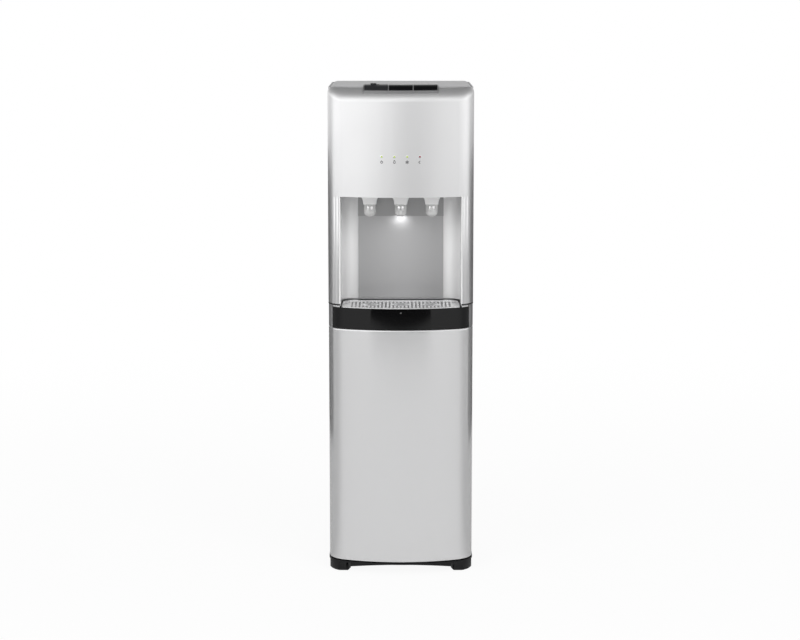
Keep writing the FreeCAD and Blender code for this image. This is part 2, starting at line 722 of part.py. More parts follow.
def foot_blocks(name, low, high, trim):
    """Four blocks under the corners; trim makes them smaller all round."""
    spots = []
    for end, side in (("left", -1), ("right", 1)):
        x = (f"foot_inner + {trim}", f"foot_outer - {trim}")
        if side < 0:
            x = (f"-({x[1]})", f"-({x[0]})")
        front_y = (f"-(front_reach - foot_setback - {trim})",
                   f"-(front_reach - foot_setback - foot_deep + {trim})")
        rear_y = (f"cabinet_back - foot_deep + {trim}", f"cabinet_back - {trim}")
        spots.append(block(f"{name}_front_{end}", x, front_y, (low, high)))
        spots.append(block(f"{name}_rear_{end}", x, rear_y, (low, high)))
    return spots


def make_base():
    floor = dee("base_floor", "0", "foot_high", base_top)
    feet = join("base_feet", *foot_blocks("base_foot", "pad_thick", "foot_high + 1", "0"))
    feet = overlap("base_feet_trimmed", feet, dee("foot_outline", "0.5", "pad_thick - 1", "foot_high + 2"))
    outer = f"{panel_inner} - snug"
    side_y = ("-(side_seam - 7)", "cabinet_back - rim_short")
    rim_z = (f"{base_top} - 1", f"{base_top} + rim_high")
    rims = [block("base_rim_left", (f"-({outer})", f"-({outer} - rim_wall)"), side_y, rim_z),
            block("base_rim_right", (f"{outer} - rim_wall", outer), side_y, rim_z),
            block("base_rim_rear", both_sides(f"{panel_inner} - rim_short"),
                  (f"{rear_inner} - snug - rim_wall", f"{rear_inner} - snug"), rim_z)]
    node("base_tray", join("base_all", floor, feet, *rims))
    pads = foot_blocks("pad", "0", "pad_thick", "pad_trim")
    trim = dee("pad_outline", "0.5 + pad_trim", "-1", "pad_thick + 1")
    node("foot_pads", overlap("foot_pads_trimmed", gather("foot_pad_set", pads), trim))


# ---------- steel cabinet ----------

def make_side_panel(label, side):
    sheet_x = (panel_inner, skin_half)
    fold_x = (f"{skin_half} - flange", skin_half)
    if side < 0:
        sheet_x = (f"-({sheet_x[1]})", f"-({sheet_x[0]})")
        fold_x = (f"-({fold_x[1]})", f"-({fold_x[0]})")
    z = (f"{base_top} + snug", "cover_skirt")
    face = block(label + "_face", sheet_x, (panel_front, flange_back), z)
    fold = block(label + "_fold", fold_x, (f"{flange_back} - panel_steel", flange_back), z)
    whole = join(label + "_sheet", face, fold)
    holes = screw_holes(label + "_holes", ("lower", "vent", "upper"))
    return node(label, cut(label + "_drilled", whole, holes))


def rear_sheet(name, low, high):
    body = doc.addObject("PartDesign::Body", name)
    sketch = new_sketch(body, name + "_face", "XZ_Plane")
    half = f"{panel_inner} - snug"
    polygon(sketch, [(f"-({half})", low), (half, low), (half, high), (f"-({half})", high)])
    pad(body, sketch, "panel_steel")
    place(body, y="cabinet_back")
    return body


def make_rear_panels():
    lower = rear_sheet("lower_rear_sheet", f"{base_top} + snug", "shelf_low + 0.5")
    node("lower_rear_panel", cut("lower_rear_drilled", lower, screw_holes("lower_rear_holes", ("lower",))))
    vent = rear_sheet("vent_sheet", "shelf_low + 1", "tank_shelf_low - 2")
    slots = new_sketch(vent, "vent_slots", "XZ_Plane")
    first = "shelf_low + vent_start"
    last = f"{first} + vent_high"
    inner = "vent_inner"
    outer = "vent_inner + vent_wide"
    for index, (low_x, high_x) in enumerate(((f"-({outer})", f"-({inner})"), (inner, outer))):
        corners = [(low_x, first), (high_x, first), (high_x, last), (low_x, last)]
        start = index * 4
        points = [Vector(value(x), value(z), 0) for x, z in corners]
        for step in range(4):
            slots.addGeometry(Part.LineSegment(points[step], points[(step + 1) % 4]))
        for step, (x, z) in enumerate(corners):
            rule(slots, "Coincident", start + step, 2, start + (step + 1) % 4, 1)
            pin_point(slots, start + step, 1, x, z)
    pocket = vent.newObject("PartDesign::Pocket", "vent_pocket")
    pocket.Profile = slots
    pocket.Type = "ThroughAll"
    pocket.Midplane = True
    rows = vent.newObject("PartDesign::LinearPattern", "vent_rows_pattern")
    rows.Originals = [pocket]
    rows.Direction = (slots, ["V_Axis"])
    bind(rows, Length="vent_pitch * (vent_rows - 1)", Occurrences="vent_rows")
    vent.Tip = rows
    passages = [through("riser_left_hole", "coil_round + passage_play", "-riser_left", "riser_top"),
                through("riser_right_hole", "coil_round + passage_play", "riser_right", "riser_top"),
                through("gland_hole", "gland_bore + gland_wall + 0.2", "gland_side", "gland_high"),
                screw_holes("vent_holes", ("vent",))]
    node("compressor_cover", cut("vent_drilled", vent, *passages))
    upper = rear_sheet("upper_rear_sheet", "tank_shelf_low - 1.5", "cover_skirt - 0.5")
    openings = [block("switch_hole", ("switch_side - tub_half - snug", "switch_side + tub_half + snug"),
                      ("cabinet_back - 8", "cabinet_back + 8"),
                      ("switch_high - tub_tall - snug", "switch_high + tub_tall + snug")),
                through("drain_hole", "drain_round + 1", "-hot_side", "hot_low + drain_high"),
                screw_holes("upper_holes", ("upper",))]
    node("upper_rear_panel", cut("upper_drilled", upper, *openings))


def make_gland():
    body = rod("gland_body", "gland_bore + gland_wall",
               ("gland_side", "cabinet_back - gland_inside", "gland_high"), "gland_inside + snug / 2", "Y")
    rim = rod("gland_flange", "gland_bore + gland_rim", ("gland_side", "cabinet_back + 0.1", "gland_high"),
              "gland_rim_thick", "Y")
    bore = rod("gland_through", "gland_bore", ("gland_side", "cabinet_back - 20", "gland_high"), "60", "Y")
    node("mains_inlet", cut("gland_bored", join("gland_solid", body, rim), bore))


def make_screws():
    items = []
    for row in screw_ends.values():
        for x, z in row:
            index = len(items)
            shank = rod(f"shank_{index}", "screw_round", (x, "cabinet_back + 0.5 - screw_long", z),
                        "screw_long", "Y")
            head = rod(f"head_{index}", "screw_head", (x, "cabinet_back + 0.1", z), "screw_head_thick", "Y")
            items.append(join(f"screw_{index}", shank, head))
    node("rear_screws", gather("screw_set", items))


def make_shelf(label, low, holes):
    high = f"{low} + shelf_steel"
    half = f"{panel_inner} - snug"
    y = ("-shelf_front", f"{rear_inner} - 2")
    fold = (f"{low} - shelf_fold", high)
    plate = block(label + "_plate", both_sides(half), y, (low, high))
    left = block(label + "_left", (f"-({half})", f"-({half} - shelf_steel)"), y, fold)
    right = block(label + "_right", (f"{half} - shelf_steel", half), y, fold)
    nose = block(label + "_nose", both_sides(half), (y[0], f"{y[0]} + shelf_steel"), fold)
    return node(label, cut(label + "_drilled", join(label + "_folded", plate, left, right, nose), *holes))


# ---------- upper mouldings ----------

def crown_shell():
    outer = dee("crown_outer", "upper_inset", "pillar_low", "body_top")
    outer = rounded_crown("crown_outer_round", outer, "body_top", "brow_curve", "shoulder_curve")
    inner = dee("crown_inner", "upper_inset + moulding", "pillar_low - 10", "body_top - moulding",
                "cabinet_back - moulding")
    inner = rounded_crown("crown_inner_round", inner, "body_top - moulding", "brow_curve - moulding",
                          "shoulder_curve - moulding")
    return cut("crown_shell", outer, inner)


def strip_opening(name):
    low = "strip_low - 5"
    high = "body_top + 20"
    return overlap(name, block(name + "_block", both_sides("strip_half + snug"),
                               (f"-({far})", "-(strip_back - snug)"), (low, high)),
                   dee(name + "_front", "strip_inset - snug", low, high))


lamp_places = ("-1.5 * lamp_pitch", "-0.5 * lamp_pitch", "0.5 * lamp_pitch", "1.5 * lamp_pitch")
board_front = "front_reach - board_back"


def make_upper_front(shell):
    region = block("fascia_region", both_sides("body_half + 10"), (f"-({far})", "-side_seam"),
                   ("pillar_low - 20", "cap_seam"))
    skin = overlap("fascia_skin", shell, region)
    alcove = block("alcove_opening", both_sides("alcove_half + liner_wall + snug"), (f"-({far})", "0"),
                   ("pillar_low - 30", "alcove_top"))
    lamps = [rod(f"lamp_hole_{index}", "lamp_round + 0.2", (x, f"-({far})", "lamp_high"), "100", "Y")
             for index, x in enumerate(lamp_places)]
    trimmed = cut("fascia_open", skin, alcove, strip_opening("fascia_notch"), *lamps)
    post_x = "board_half - post_round"
    post_start = front_line("upper_inset + moulding / 2", post_x)
    posts = [rod(f"board_post_{index}", "post_round", (x, post_start, "lamp_high"),
                 f"-({board_front}) - ({post_start})", "Y")
             for index, x in enumerate(both_sides(post_x))]
    node("front_fascia", join("fascia_all", trimmed, *posts))


def make_top_cover(shell):
    cap = block("cap_region", both_sides("body_half + 10"), (f"-({far})", far),
                ("cap_seam + snug", "body_top + 20"))
    skirt = block("skirt_region", both_sides("body_half + 10"), ("-(side_seam - seam_gap)", far),
                  ("cover_skirt + snug", "body_top + 20"))
    lid = overlap("cover_lid", shell, join("cover_region", cap, skirt))
    rim_inset = "door_inset + panel_steel + snug"
    rim_rear = f"{flange_back} - panel_steel - 2 * snug + 0.2"
    rim_outer = dee("rim_outer", rim_inset, "cover_skirt - 10", "cap_seam + 0.6", rim_rear)
    rim_inner = dee("rim_inner", f"{rim_inset} + moulding", "cover_skirt - 11", "cap_seam + 2",
                    f"{rim_rear} - moulding")
    rim_region = block("rim_region", both_sides("body_half"), ("-(side_seam - 1.5)", far),
                       ("cover_skirt - 20", "body_top"))
    rim = overlap("cover_rim", cut("rim_ring", rim_outer, rim_inner), rim_region)
    node("top_cover", cut("cover_open", join("cover_solid", lid, rim), strip_opening("cover_notch")))


def make_alcove():
    outer = coved("liner_outer", "alcove_half + liner_wall", "front_reach + 10", "alcove_back - liner_wall",
                  "cove_curve + liner_wall", "liner_low", "alcove_top - 0.2")
    inner = coved("liner_inner", "alcove_half", "front_reach + 20", "alcove_back", "cove_curve",
                  "liner_low - 5", "alcove_top + 5")
    outline = dee("liner_outline", "upper_inset + 0.5", "liner_low - 2", "alcove_top + 2")
    node("alcove_liner", overlap("liner_trimmed", cut("liner_shell", outer, inner), outline))
    roof = coved("roof_outer", "alcove_half + liner_wall", "front_reach + 10", "alcove_back - liner_wall",
                 "cove_curve + liner_wall", "alcove_top", "alcove_top + moulding")
    roof = overlap("roof_trimmed", roof, dee("roof_outline", "upper_inset + moulding + snug",
                                              "alcove_top - 1", "alcove_top + moulding + 1"))
    face = "alcove_back + ledge_thick"
    ledge = block("tap_ledge", both_sides("splash_half"), (f"-({face})", "-(alcove_back + snug)"),
                  ("ledge_low", "alcove_top + 1"))
    holes = [rod(f"tap_hole_{name}", "stem_round + snug", (x, "-tap_depth", "alcove_top - 5"), "15")
             for name, x in tap_places.items()]
    lamp_seat = block("night_lamp_seat", both_sides("night_half + snug"),
                      (f"-({face} + 1)", f"-({face} - 2 - snug)"),
                      ("ledge_low - 1", "ledge_low + night_high + snug"))
    node("nozzle_panel", cut("nozzle_panel_open", join("nozzle_panel_solid", roof, ledge), lamp_seat, *holes))
    lens_y = (f"-({face} + 1.2)", f"-({face} - 2)")
    node("night_light_lens", block("night_lamp", both_sides("night_half"), lens_y,
                                   ("ledge_low + 0.2", "ledge_low + night_high")))
    node("back_panel", block("splash_plate", both_sides("splash_half - 0.5"),
                             ("-(alcove_back + 0.1 + splash_thick)", "-(alcove_back + 0.1)"),
                             ("liner_low + 1", "ledge_low - snug")))


# ---------- taps ----------

def make_taps():
    shrouds = []
    valves = []
    shroud_back = "alcove_back + ledge_thick + snug"
    for name, x in tap_places.items():
        body = doc.addObject("PartDesign::Body", f"shroud_{name}")
        sketch = new_sketch(body, f"shroud_{name}_face", "XZ_Plane")
        low = "spout_top + 0.2"
        high = "alcove_top - 0.2"
        polygon(sketch, [(f"{x} - spout_outer", low), (f"{x} + spout_outer", low),
                         (f"{x} + shroud_half", high), (f"{x} - shroud_half", high)])
        pad(body, sketch, f"tap_depth + spout_outer + shroud_nose - ({shroud_back})")
        place(body, y=f"-({shroud_back})")
        bore = rod(f"shroud_bore_{name}", "stem_round + snug", (x, "-tap_depth", "spout_top - 5"), "60")
        shrouds.append(cut(f"shroud_{name}_bored", body, bore))
        shoulder = (x, "-tap_depth", "spout_low + spout_outer")
        tip = dome(f"spout_tip_{name}", "spout_outer", "spout_outer", shoulder)
        barrel = rod(f"spout_barrel_{name}", "spout_outer", shoulder, "spout_top - spout_low - spout_outer")
        stem = rod(f"spout_stem_{name}", "stem_round", (x, "-tap_depth", "spout_top - 1"),
                   "alcove_top + moulding - spout_top + 1")
        way = rod(f"spout_way_{name}", "spout_bore", (x, "-tap_depth", "spout_low - 5"), "80")
        node(f"{name}_tap_spout", cut(f"spout_{name}_bored", join(f"spout_{name}", tip, barrel, stem), way))
        floor = "alcove_top + moulding + 0.2"
        valve = rod(f"valve_{name}", "valve_round", (x, "-tap_depth", floor), "valve_high")
        barb = rod(f"barb_{name}", "tap_hose - hose_wall - 0.1", (x, "-tap_depth", f"{floor} + barb_high"),
                   "valve_round + barb_long", "Y")
        valves.append(join(f"valve_{name}_body", valve, barb))
    node("tap_shrouds", gather("shroud_set", shrouds))
    node("tap_valves", gather("valve_set", valves))


def ring_tube(name, outer, inner, start, length, axis="Z"):
    low = list(start)
    spot = "XYZ".index(axis)
    low[spot] = f"{start[spot]} - 1"
    wall = rod(name + "_out", outer, start, length, axis)
    return cut(name, wall, rod(name + "_in", inner, low, f"{length} + 2", axis))


def make_hoses():
    height = "alcove_top + moulding + barb_high + 0.2"
    start = "-tap_depth + valve_round + 0.5"
    foam_round = "(cold_round + snug + foam_wall)"
    ends = {
        "hot": "hot_depth - hot_round - 0.2",
        "room": f"cold_depth - sqrt({foam_round}^2 - (cold_side - tap_hose)^2) - 0.2",
        "cold": f"cold_depth - {foam_round} - 0.2",
    }
    hoses = [ring_tube(f"tap_hose_{name}", "tap_hose", "tap_hose - hose_wall", (x, start, height),
                       f"{ends[name]} - ({start})", "Y") for name, x in tap_places.items()]
    rise = f"{shelf_top} + pump_high + snug"
    hoses.append(ring_tube("pump_outlet_hose", "hose_round", "hose_round - 1.5",
                           ("pump_side", "pump_depth", rise), f"{tank_floor} - ({rise})"))
    x = value("pump_side")
    back = value("probe_depth")
    inlet = value(f"{shelf_top} + pump_high - inlet_drop")
    points = [Vector(x, back, value("probe_top + neck_high + 0.2")), Vector(x, back, inlet),
              Vector(x, value("pump_depth + pump_round + 0.3"), inlet)]
    supply = doc.addObject("Part::Feature", "supply_hose_run")
    supply.Shape = tube_along(points, 5 * value("hose_round"), value("hose_round"))
    node("water_hoses", gather("hose_set", hoses + [supply]))


# ---------- indicator lamps ----------

def make_lamps():
    lenses = []
    for index, x in enumerate(lamp_places):
        start = f"{front_line('upper_inset', x)} - 0.3"
        lenses.append(rod(f"lamp_{index}", "lamp_round", (x, start, "lamp_high"),
                          f"-({board_front}) - ({start})", "Y"))
    node("green_lamp_lenses", gather("green_lamps", lenses[:3]))
    node("red_lamp_lens", lenses[3])
    node("indicator_board", block("indicator_plate", both_sides("board_half"),
                                  (f"-({board_front}) + 0.1", f"-({board_front}) + 0.1 + board_thick"),
                                  ("lamp_high - board_tall / 2", "lamp_high + board_tall / 2")))


# ---------- drip tray ----------

tray_inset = "door_inset + 0.3"


def make_tray():
    band_ring = cut("band_ring", dee("band_outer", tray_inset, "band_low", "ear_top"),
                    dee("band_inner", f"{tray_inset} + band_thick", "band_low - 5", "ear_top + 5"))
    middle = block("band_middle", both_sides("alcove_half + 1.4"), (f"-({far})", "-side_seam"),
                   ("band_low - 1", "band_top"))
    ears = [block(f"band_ear_{end}", x, (f"-({far})", "-side_seam"), ("band_low - 1", "ear_top + 1"))
            for end, x in (("left", ("-band_half", "-(alcove_half + 1.3)")),
                           ("right", ("alcove_half + 1.3", "band_half")))]
    band = overlap("band_shape", band_ring, join("band_region", middle, *ears))
    grille_low = "band_top - grille_thick"
    corner = "cove_curve - 1"
    tub = overlap("tub_outer", dee("tub_outline", f"{tray_inset} + band_thick - 0.2", "basin_low",
                                   f"{grille_low} - 0.1"),
                  coved("tub_region", "basin_half", far, "basin_back", corner, "basin_low - 1",
                        "band_top + 1"))
    hollow = overlap("tub_inner", dee("tub_inner_outline", f"{tray_inset} + band_thick + basin_wall",
                                      "basin_low + basin_wall", "band_top + 20"),
                     coved("tub_inner_region", "basin_half - basin_wall", far, "basin_back + basin_wall",
                           f"{corner} - basin_wall", "basin_low", "band_top + 30"))
    basin = cut("tub_shell", tub, hollow)
    runner_low = "cradle_low + ledge_plate + snug"
    runners = [block(f"runner_{end}", (f"{x} - runner_wide / 2", f"{x} + runner_wide / 2"),
                     ("-(front_reach - 30)", "-(basin_back + 4)"), (runner_low, "basin_low + 0.5"))
               for end, x in (("left", "-runner_place"), ("right", "runner_place"))]
    node("drip_tray", join("tray_all", band, basin, *runners))
    edge = f"{tray_inset} + band_thick + 0.4"
    plate = overlap("grille_plate", dee("grille_outline", edge, grille_low, "band_top"),
                    coved("grille_region", "alcove_half - 1", far, "alcove_back + grille_back", corner,
                          "basin_low", "band_top + 5"))
    dish = overlap("grille_dish",
                   dee("grille_dish_outline", f"{edge} + grille_rim", "band_top - 1", "band_top + 4"),
                   coved("grille_dish_region", "alcove_half - 1 - grille_rim", far,
                         "alcove_back + grille_back + grille_rim", f"{corner} - grille_rim",
                         "basin_low", "band_top + 9"))
    sunk = cut("grille_sunk", plate, dish)
    slots = []
    count = int(value("slot_count"))
    for index in range(count):
        x = f"{index - (count - 1) / 2} * slot_pitch"
        slot_y = (f"{front_line(edge, x)} + grille_rim + 6",
                  "-(alcove_back + grille_back + grille_rim + slot_back)")
        slots.append(block(f"grille_slot_{index}", (f"{x} - slot_wide / 2", f"{x} + slot_wide / 2"), slot_y,
                           ("basin_low", "band_top + 5")))
    slotted = cut("grille_slotted", sunk, *slots)
    discs = []
    holes = []
    for name, x in tap_places.items():
        discs.append(rod(f"roundel_{name}", "roundel", (x, "-tap_depth", grille_low), "grille_thick - 0.4"))
        dip = (x, "-tap_depth", "band_top - 1.4")
        holes.append(rod(f"roundel_dip_{name}", "roundel - roundel_rim", dip, "5"))
        for side in (-1, 1):
            spot = (f"{x} + {side} * roundel_spread", "-tap_depth", "basin_low")
            holes.append(rod(f"roundel_hole_{name}_{side}", "roundel_hole", spot, "60"))
    node("drip_grille", cut("grille_open", join("grille_all", slotted, *discs), *holes))


def make_cradle():
    behind_band = f"{tray_inset} + band_thick + 0.7"
    strip_ring = cut("strip_ring", dee("strip_outer", "door_inset", "cradle_low", "cradle_top"),
                     dee("strip_inner", f"{tray_inset} + band_thick + 2", "cradle_low - 5", "cradle_top + 5"))
    strips = [block(f"strip_{end}", x, (f"-({far})", "-side_seam"), ("cradle_low - 1", "cradle_top + 1"))
              for end, x in (("left", ("-(body_half + 5)", "-(band_half + band_gap)")),
                             ("right", ("band_half + band_gap", "body_half + 5")))]
    sides = overlap("strip_shape", strip_ring, join("strip_region", *strips))
    floor = overlap("cradle_floor",
                    dee("cradle_outline", behind_band, "cradle_low", "cradle_low + ledge_plate"),
                    block("cradle_floor_region", both_sides("body_half"),
                          (f"-({far})", "-(shelf_front + snug)"), ("cradle_low - 1", "cradle_top")))
    wall_y = ("-(side_seam + 3)", "-(shelf_front + snug)")
    outer_wall = f"body_half - ({behind_band})"
    walls = [block("cradle_wall_left", (f"-({outer_wall})", f"-({outer_wall} - ledge_plate)"), wall_y,
                   ("cradle_low", "cradle_top")),
             block("cradle_wall_right", (f"{outer_wall} - ledge_plate", outer_wall), wall_y,
                   ("cradle_low", "cradle_top")),
             block("cradle_wall_rear", both_sides(outer_wall),
                   ("-(shelf_front + snug + ledge_plate)", wall_y[1]), ("cradle_low", "liner_low - snug"))]
    tops = []
    for end, side in (("left", -1), ("right", 1)):
        x = ("alcove_half + liner_wall + snug", "body_half")
        if side < 0:
            x = (f"-({x[1]})", f"-({x[0]})")
        tops.append(block(f"cradle_top_{end}", x, ("-(front_reach)", wall_y[1]),
                          ("cradle_top - ledge_plate", "cradle_top")))
    top_front = overlap("cradle_tops", join("cradle_top_pair", *tops),
                        dee("cradle_top_outline", "door_inset", "cradle_low", "cradle_top + 1"),
                        join("cradle_top_limits",
                             block("cradle_top_front", both_sides("body_half + 5"),
                                   (f"-({far})", "-side_seam"), ("cradle_low", "cradle_top + 1")),
                             block("cradle_top_rear", both_sides(outer_wall), ("-(side_seam + 1)", "0"),
                                   ("cradle_low", "cradle_top + 1"))))
    node("tray_cradle", join("cradle_all", sides, floor, top_front, *walls))


# ---------- door ----------

def make_door():
    front = block("door_region", both_sides("body_half + 10"), (f"-({far})", "-(side_seam + 1)"),
                  ("0", "door_top + 10"))
    skin = cut("door_ring", dee("door_outside", "door_inset", "door_low", "door_top"),
               dee("door_inside", "door_inset + moulding", "door_low - 5", "door_top + 5"))
    node("door_outer", overlap("door_skin", skin, front))
    inner_start = "door_inset + moulding + 0.1"
    cavity_end = "door_inset + moulding + door_depth - liner_skin"
    liner_end = "door_inset + moulding + door_depth"
    thick = cut("lining_ring", dee("lining_outside", inner_start, "door_low", "door_top"),
                dee("lining_inside", liner_end, "door_low - 5", "door_top + 5"))
    channel = cut("lining_space", dee("channel_outside", inner_start + " - 1", "door_low + liner_skin",
                                      "door_top - liner_skin"),
                  dee("channel_inside", cavity_end, "door_low - 5", "door_top + 5"))
    channel_region = block("channel_region", both_sides("body_half + 10"), (f"-({far})", "-(side_seam + 3)"),
                           ("0", "door_top + 10"))
    space = overlap("channel_front", channel, channel_region)
    lining = overlap("lining_front", cut("lining_hollow", thick, space), front)
    axle = ("-hinge_side", "-hinge_depth")
    boss_long = "pin_long + 5"
    bosses = [rod("boss_low", "boss_round", (*axle, "door_low"), boss_long),
              rod("boss_high", "boss_round", (*axle, f"door_top - ({boss_long})"), boss_long)]
    bore_long = "pin_long + 6"
    bores = [rod("boss_bore_low", "pin_round + pin_play", (*axle, "door_low - 5"), bore_long),
             rod("boss_bore_high", "pin_round + pin_play", (*axle, "door_top - pin_long - 1"), bore_long)]
    node("door_liner", cut("lining_bored", join("lining_bossed", lining, *bosses), *bores))
    plate_x = ("-(hinge_side + bracket_outer)", "-(hinge_side - bracket_inner)")
    plate_y = ("-(hinge_depth + bracket_front)", "-(hinge_depth - bracket_rear)")
    lower_plate = block("hinge_low_plate", plate_x, plate_y,
                        (f"{base_top} + 0.1", f"{base_top} + 0.1 + bracket_thick"))
    lower_pin = rod("hinge_low_pin", "pin_round", (*axle, f"{base_top} + 0.5"),
                    f"door_low - ({base_top}) + pin_long - 1")
    upper_plate = block("hinge_high_plate", plate_x, plate_y,
                        ("cradle_low - 0.1 - bracket_thick", "cradle_low - 0.1"))
    upper_pin = rod("hinge_high_pin", "pin_round", (*axle, "door_top - pin_long + 1"),
                    "cradle_low - door_top + pin_long - 1.5")
    node("hinge_brackets", gather("hinge_pair", [join("hinge_low", lower_plate, lower_pin),
                                                 join("hinge_high", upper_plate, upper_pin)]))
    magnet_x = (f"{panel_inner} - snug - magnet_wide", f"{panel_inner} - snug")
    magnet_y = ("-(side_seam + 0.6)", "-(side_seam - magnet_deep)")
    magnets = [block(f"magnet_{index}", magnet_x, magnet_y, (height, f"{height} + magnet_tall"))
               for index, height in enumerate(("door_low + magnet_low", "door_top - magnet_high"))]
    node("door_magnets", gather("magnet_pair", magnets))


# ---------- buttons ----------

def brow_form(name, lift):
    """The outside of the upper body, raised by lift all round."""
    form = dee(name, f"upper_inset - {lift}", "strip_low - 10", f"body_top + {lift}")
    return rounded_crown(name + "_round", form, f"body_top + {lift}", f"brow_curve + {lift}",
                         f"shoulder_curve + {lift}")


def brow_piece(name, form, x, front_inset, back, low):
    """A strip cut from the raised form; its front follows the bow of the body."""
    high = "body_top + 20"
    return overlap(name, form, dee(name + "_front", front_inset, low, high),
                   block(name + "_limits", x, (f"-({far})", f"-({back})"), (low, high)))


def make_buttons():
    housing = brow_piece("strip_form", brow_form("strip_brow", "strip_lift"), both_sides("strip_half"),
                         "strip_inset", "strip_back", "strip_low")
    pad_form = brow_form("pad_brow", "pad_lift")
    floor = "strip_low + strip_floor"
    wells = []
    centres = {"hot": "-button_pitch", "room": "0", "cold": "button_pitch"}
    well_half = "(button_pitch - button_gap) / 2"
    for name, centre in centres.items():
        well_x = (f"{centre} - {well_half}", f"{centre} + {well_half}")
        wells.append(block(f"well_{name}", well_x, (f"-({far})", "-(strip_back + strip_wall)"),
                           (floor, "body_top + 20")))
    well_front = dee("well_front", "strip_inset + strip_wall", "strip_low - 2", "body_top + 30")
    wells = overlap("well_set", join("well_blocks", *wells), well_front)
    node("button_housing", cut("strip_open", housing, wells))
    board_low = "strip_low - switch_drop"
    board_top = f"{board_low} + board_thick"
    key_y = ("-(key_rear + key_deep)", "-key_rear")
    switches = [block("switch_board", both_sides("switch_board_half"),
                      ("-(key_rear + key_deep + board_margin)", "-(key_rear - board_margin)"),
                      (board_low, board_top))]
    slider_front = "slider_rear + slider_deep"
    slider_floor = "body_top + pad_lift - slider_groove"
    spring_y = value("-(front_reach - strip_inset + strip_back) / 2")
    wire = value("spring_wire")
    coil = value("spring_round") - wire
    bottom = value(f"{floor} + spring_wire + 0.1")
    rise = value("button_low - spring_wire - 0.1") - bottom
    for name, centre in centres.items():
        pad_x = (f"{centre} - {well_half} + button_play", f"{centre} + {well_half} - button_play")
        cap = brow_piece(f"cap_{name}", pad_form, pad_x, "strip_inset + strip_wall + button_play",
                         "strip_back + strip_wall + button_play", "button_low")
        if name == "hot":
            groove = block("slider_groove_cut",
                           ("-(slider_place + slider_half + slider_play)",
                            "-(slider_place - slider_half - slider_travel - slider_play)"),
                           (f"-({slider_front} + slider_play)", "-(slider_rear - slider_play)"),
                           (slider_floor, "body_top + 20"))
            cap = cut("cap_hot_grooved", cap, groove)
        node(f"{name}_button", cap)
        switches.append(block(f"switch_{name}", (f"{centre} - key_half", f"{centre} + key_half"), key_y,
                              (board_top, "strip_low - 0.1")))
        spring = doc.addObject("Part::Feature", f"spring_{name}")
        spring.Shape = coil_tube(coil, rise, value("spring_turns"), wire)
        spring.Placement = Placement(Vector(value(centre), spring_y, bottom), Rotation())
        node(f"{name}_button_spring", spring)
    node("button_switches", join("switch_set", *switches))
    slider_top = "body_top + pad_lift + slider_proud"
    slider = block("slider_body", ("-(slider_place + slider_half)", "-(slider_place - slider_half)"),
                   (f"-({slider_front})", "-slider_rear"), (f"{slider_floor} + 0.05", slider_top))
    ridges = []
    for index in (-1, 0, 1):
        middle = f"-slider_place + {index} * ridge_pitch"
        ridge_x = (f"{middle} - ridge_wide / 2", f"{middle} + ridge_wide / 2")
        ridge_y = (f"-({slider_front} + 1)", "-(slider_rear - 1)")
        ridges.append(block(f"slider_ridge_{index + 1}", ridge_x, ridge_y,
                            (f"{slider_top} - ridge_deep", "body_top + 20")))
    node("child_lock_slider", cut("slider_ridged", slider, *ridges))


# ---------- cooling, heating and water ----------

def make_compressor():
    centre = ("-can_side", "can_depth")
    foot = f"{shelf_top} + grommet_high + 0.1"
    parts = [rod("can_wall", "can_round", (*centre, "can_low"), "can_high - can_low"),
             dome("can_top", "can_round", "can_dome", (*centre, "can_high")),
             dome("can_bottom", "can_round", "can_dome", (*centre, "can_low")),
             rod("can_seam", "can_round + 2.5", (*centre, "can_low + 34"), "3"),
             block("can_plate", ("-(can_side + plate_half)", "-(can_side - plate_half)"),
                   ("can_depth - plate_deep", "can_depth + plate_deep"), (foot, f"{foot} + plate_thick")),
             block("can_stool", ("-(can_side + stool_half)", "-(can_side - stool_half)"),
                   ("can_depth - stool_half", "can_depth + stool_half"), (foot, "can_low - can_dome + 12"))]
    node("compressor", join("compressor_all", *parts))
    grommets = []
    for across in (-1, 1):
        for along in (-1, 1):
            spot = (f"-can_side + {across} * grommet_side", f"can_depth + {along} * grommet_depth", shelf_top)
            grommets.append(rod(f"grommet_{across}_{along}", "grommet_round", spot, "grommet_high"))
    node("compressor_grommets", gather("grommet_set", grommets))
    relay = block("relay_block", ("-can_side + can_round - relay_in", "-can_side + can_round + relay_out"),
                  ("can_depth - relay_half", "can_depth + relay_half"),
                  ("can_low - relay_drop", "can_low - relay_drop + relay_tall"))
    wall_gap = rod("relay_gap", "can_round + snug", (*centre, "can_low - 60"), "200")
    dome_gap = dome("relay_dome_gap", "can_round + snug", "can_dome + snug", (*centre, "can_low"))
    node("relay_cover", cut("relay_fitted", relay, wall_gap, dome_gap))


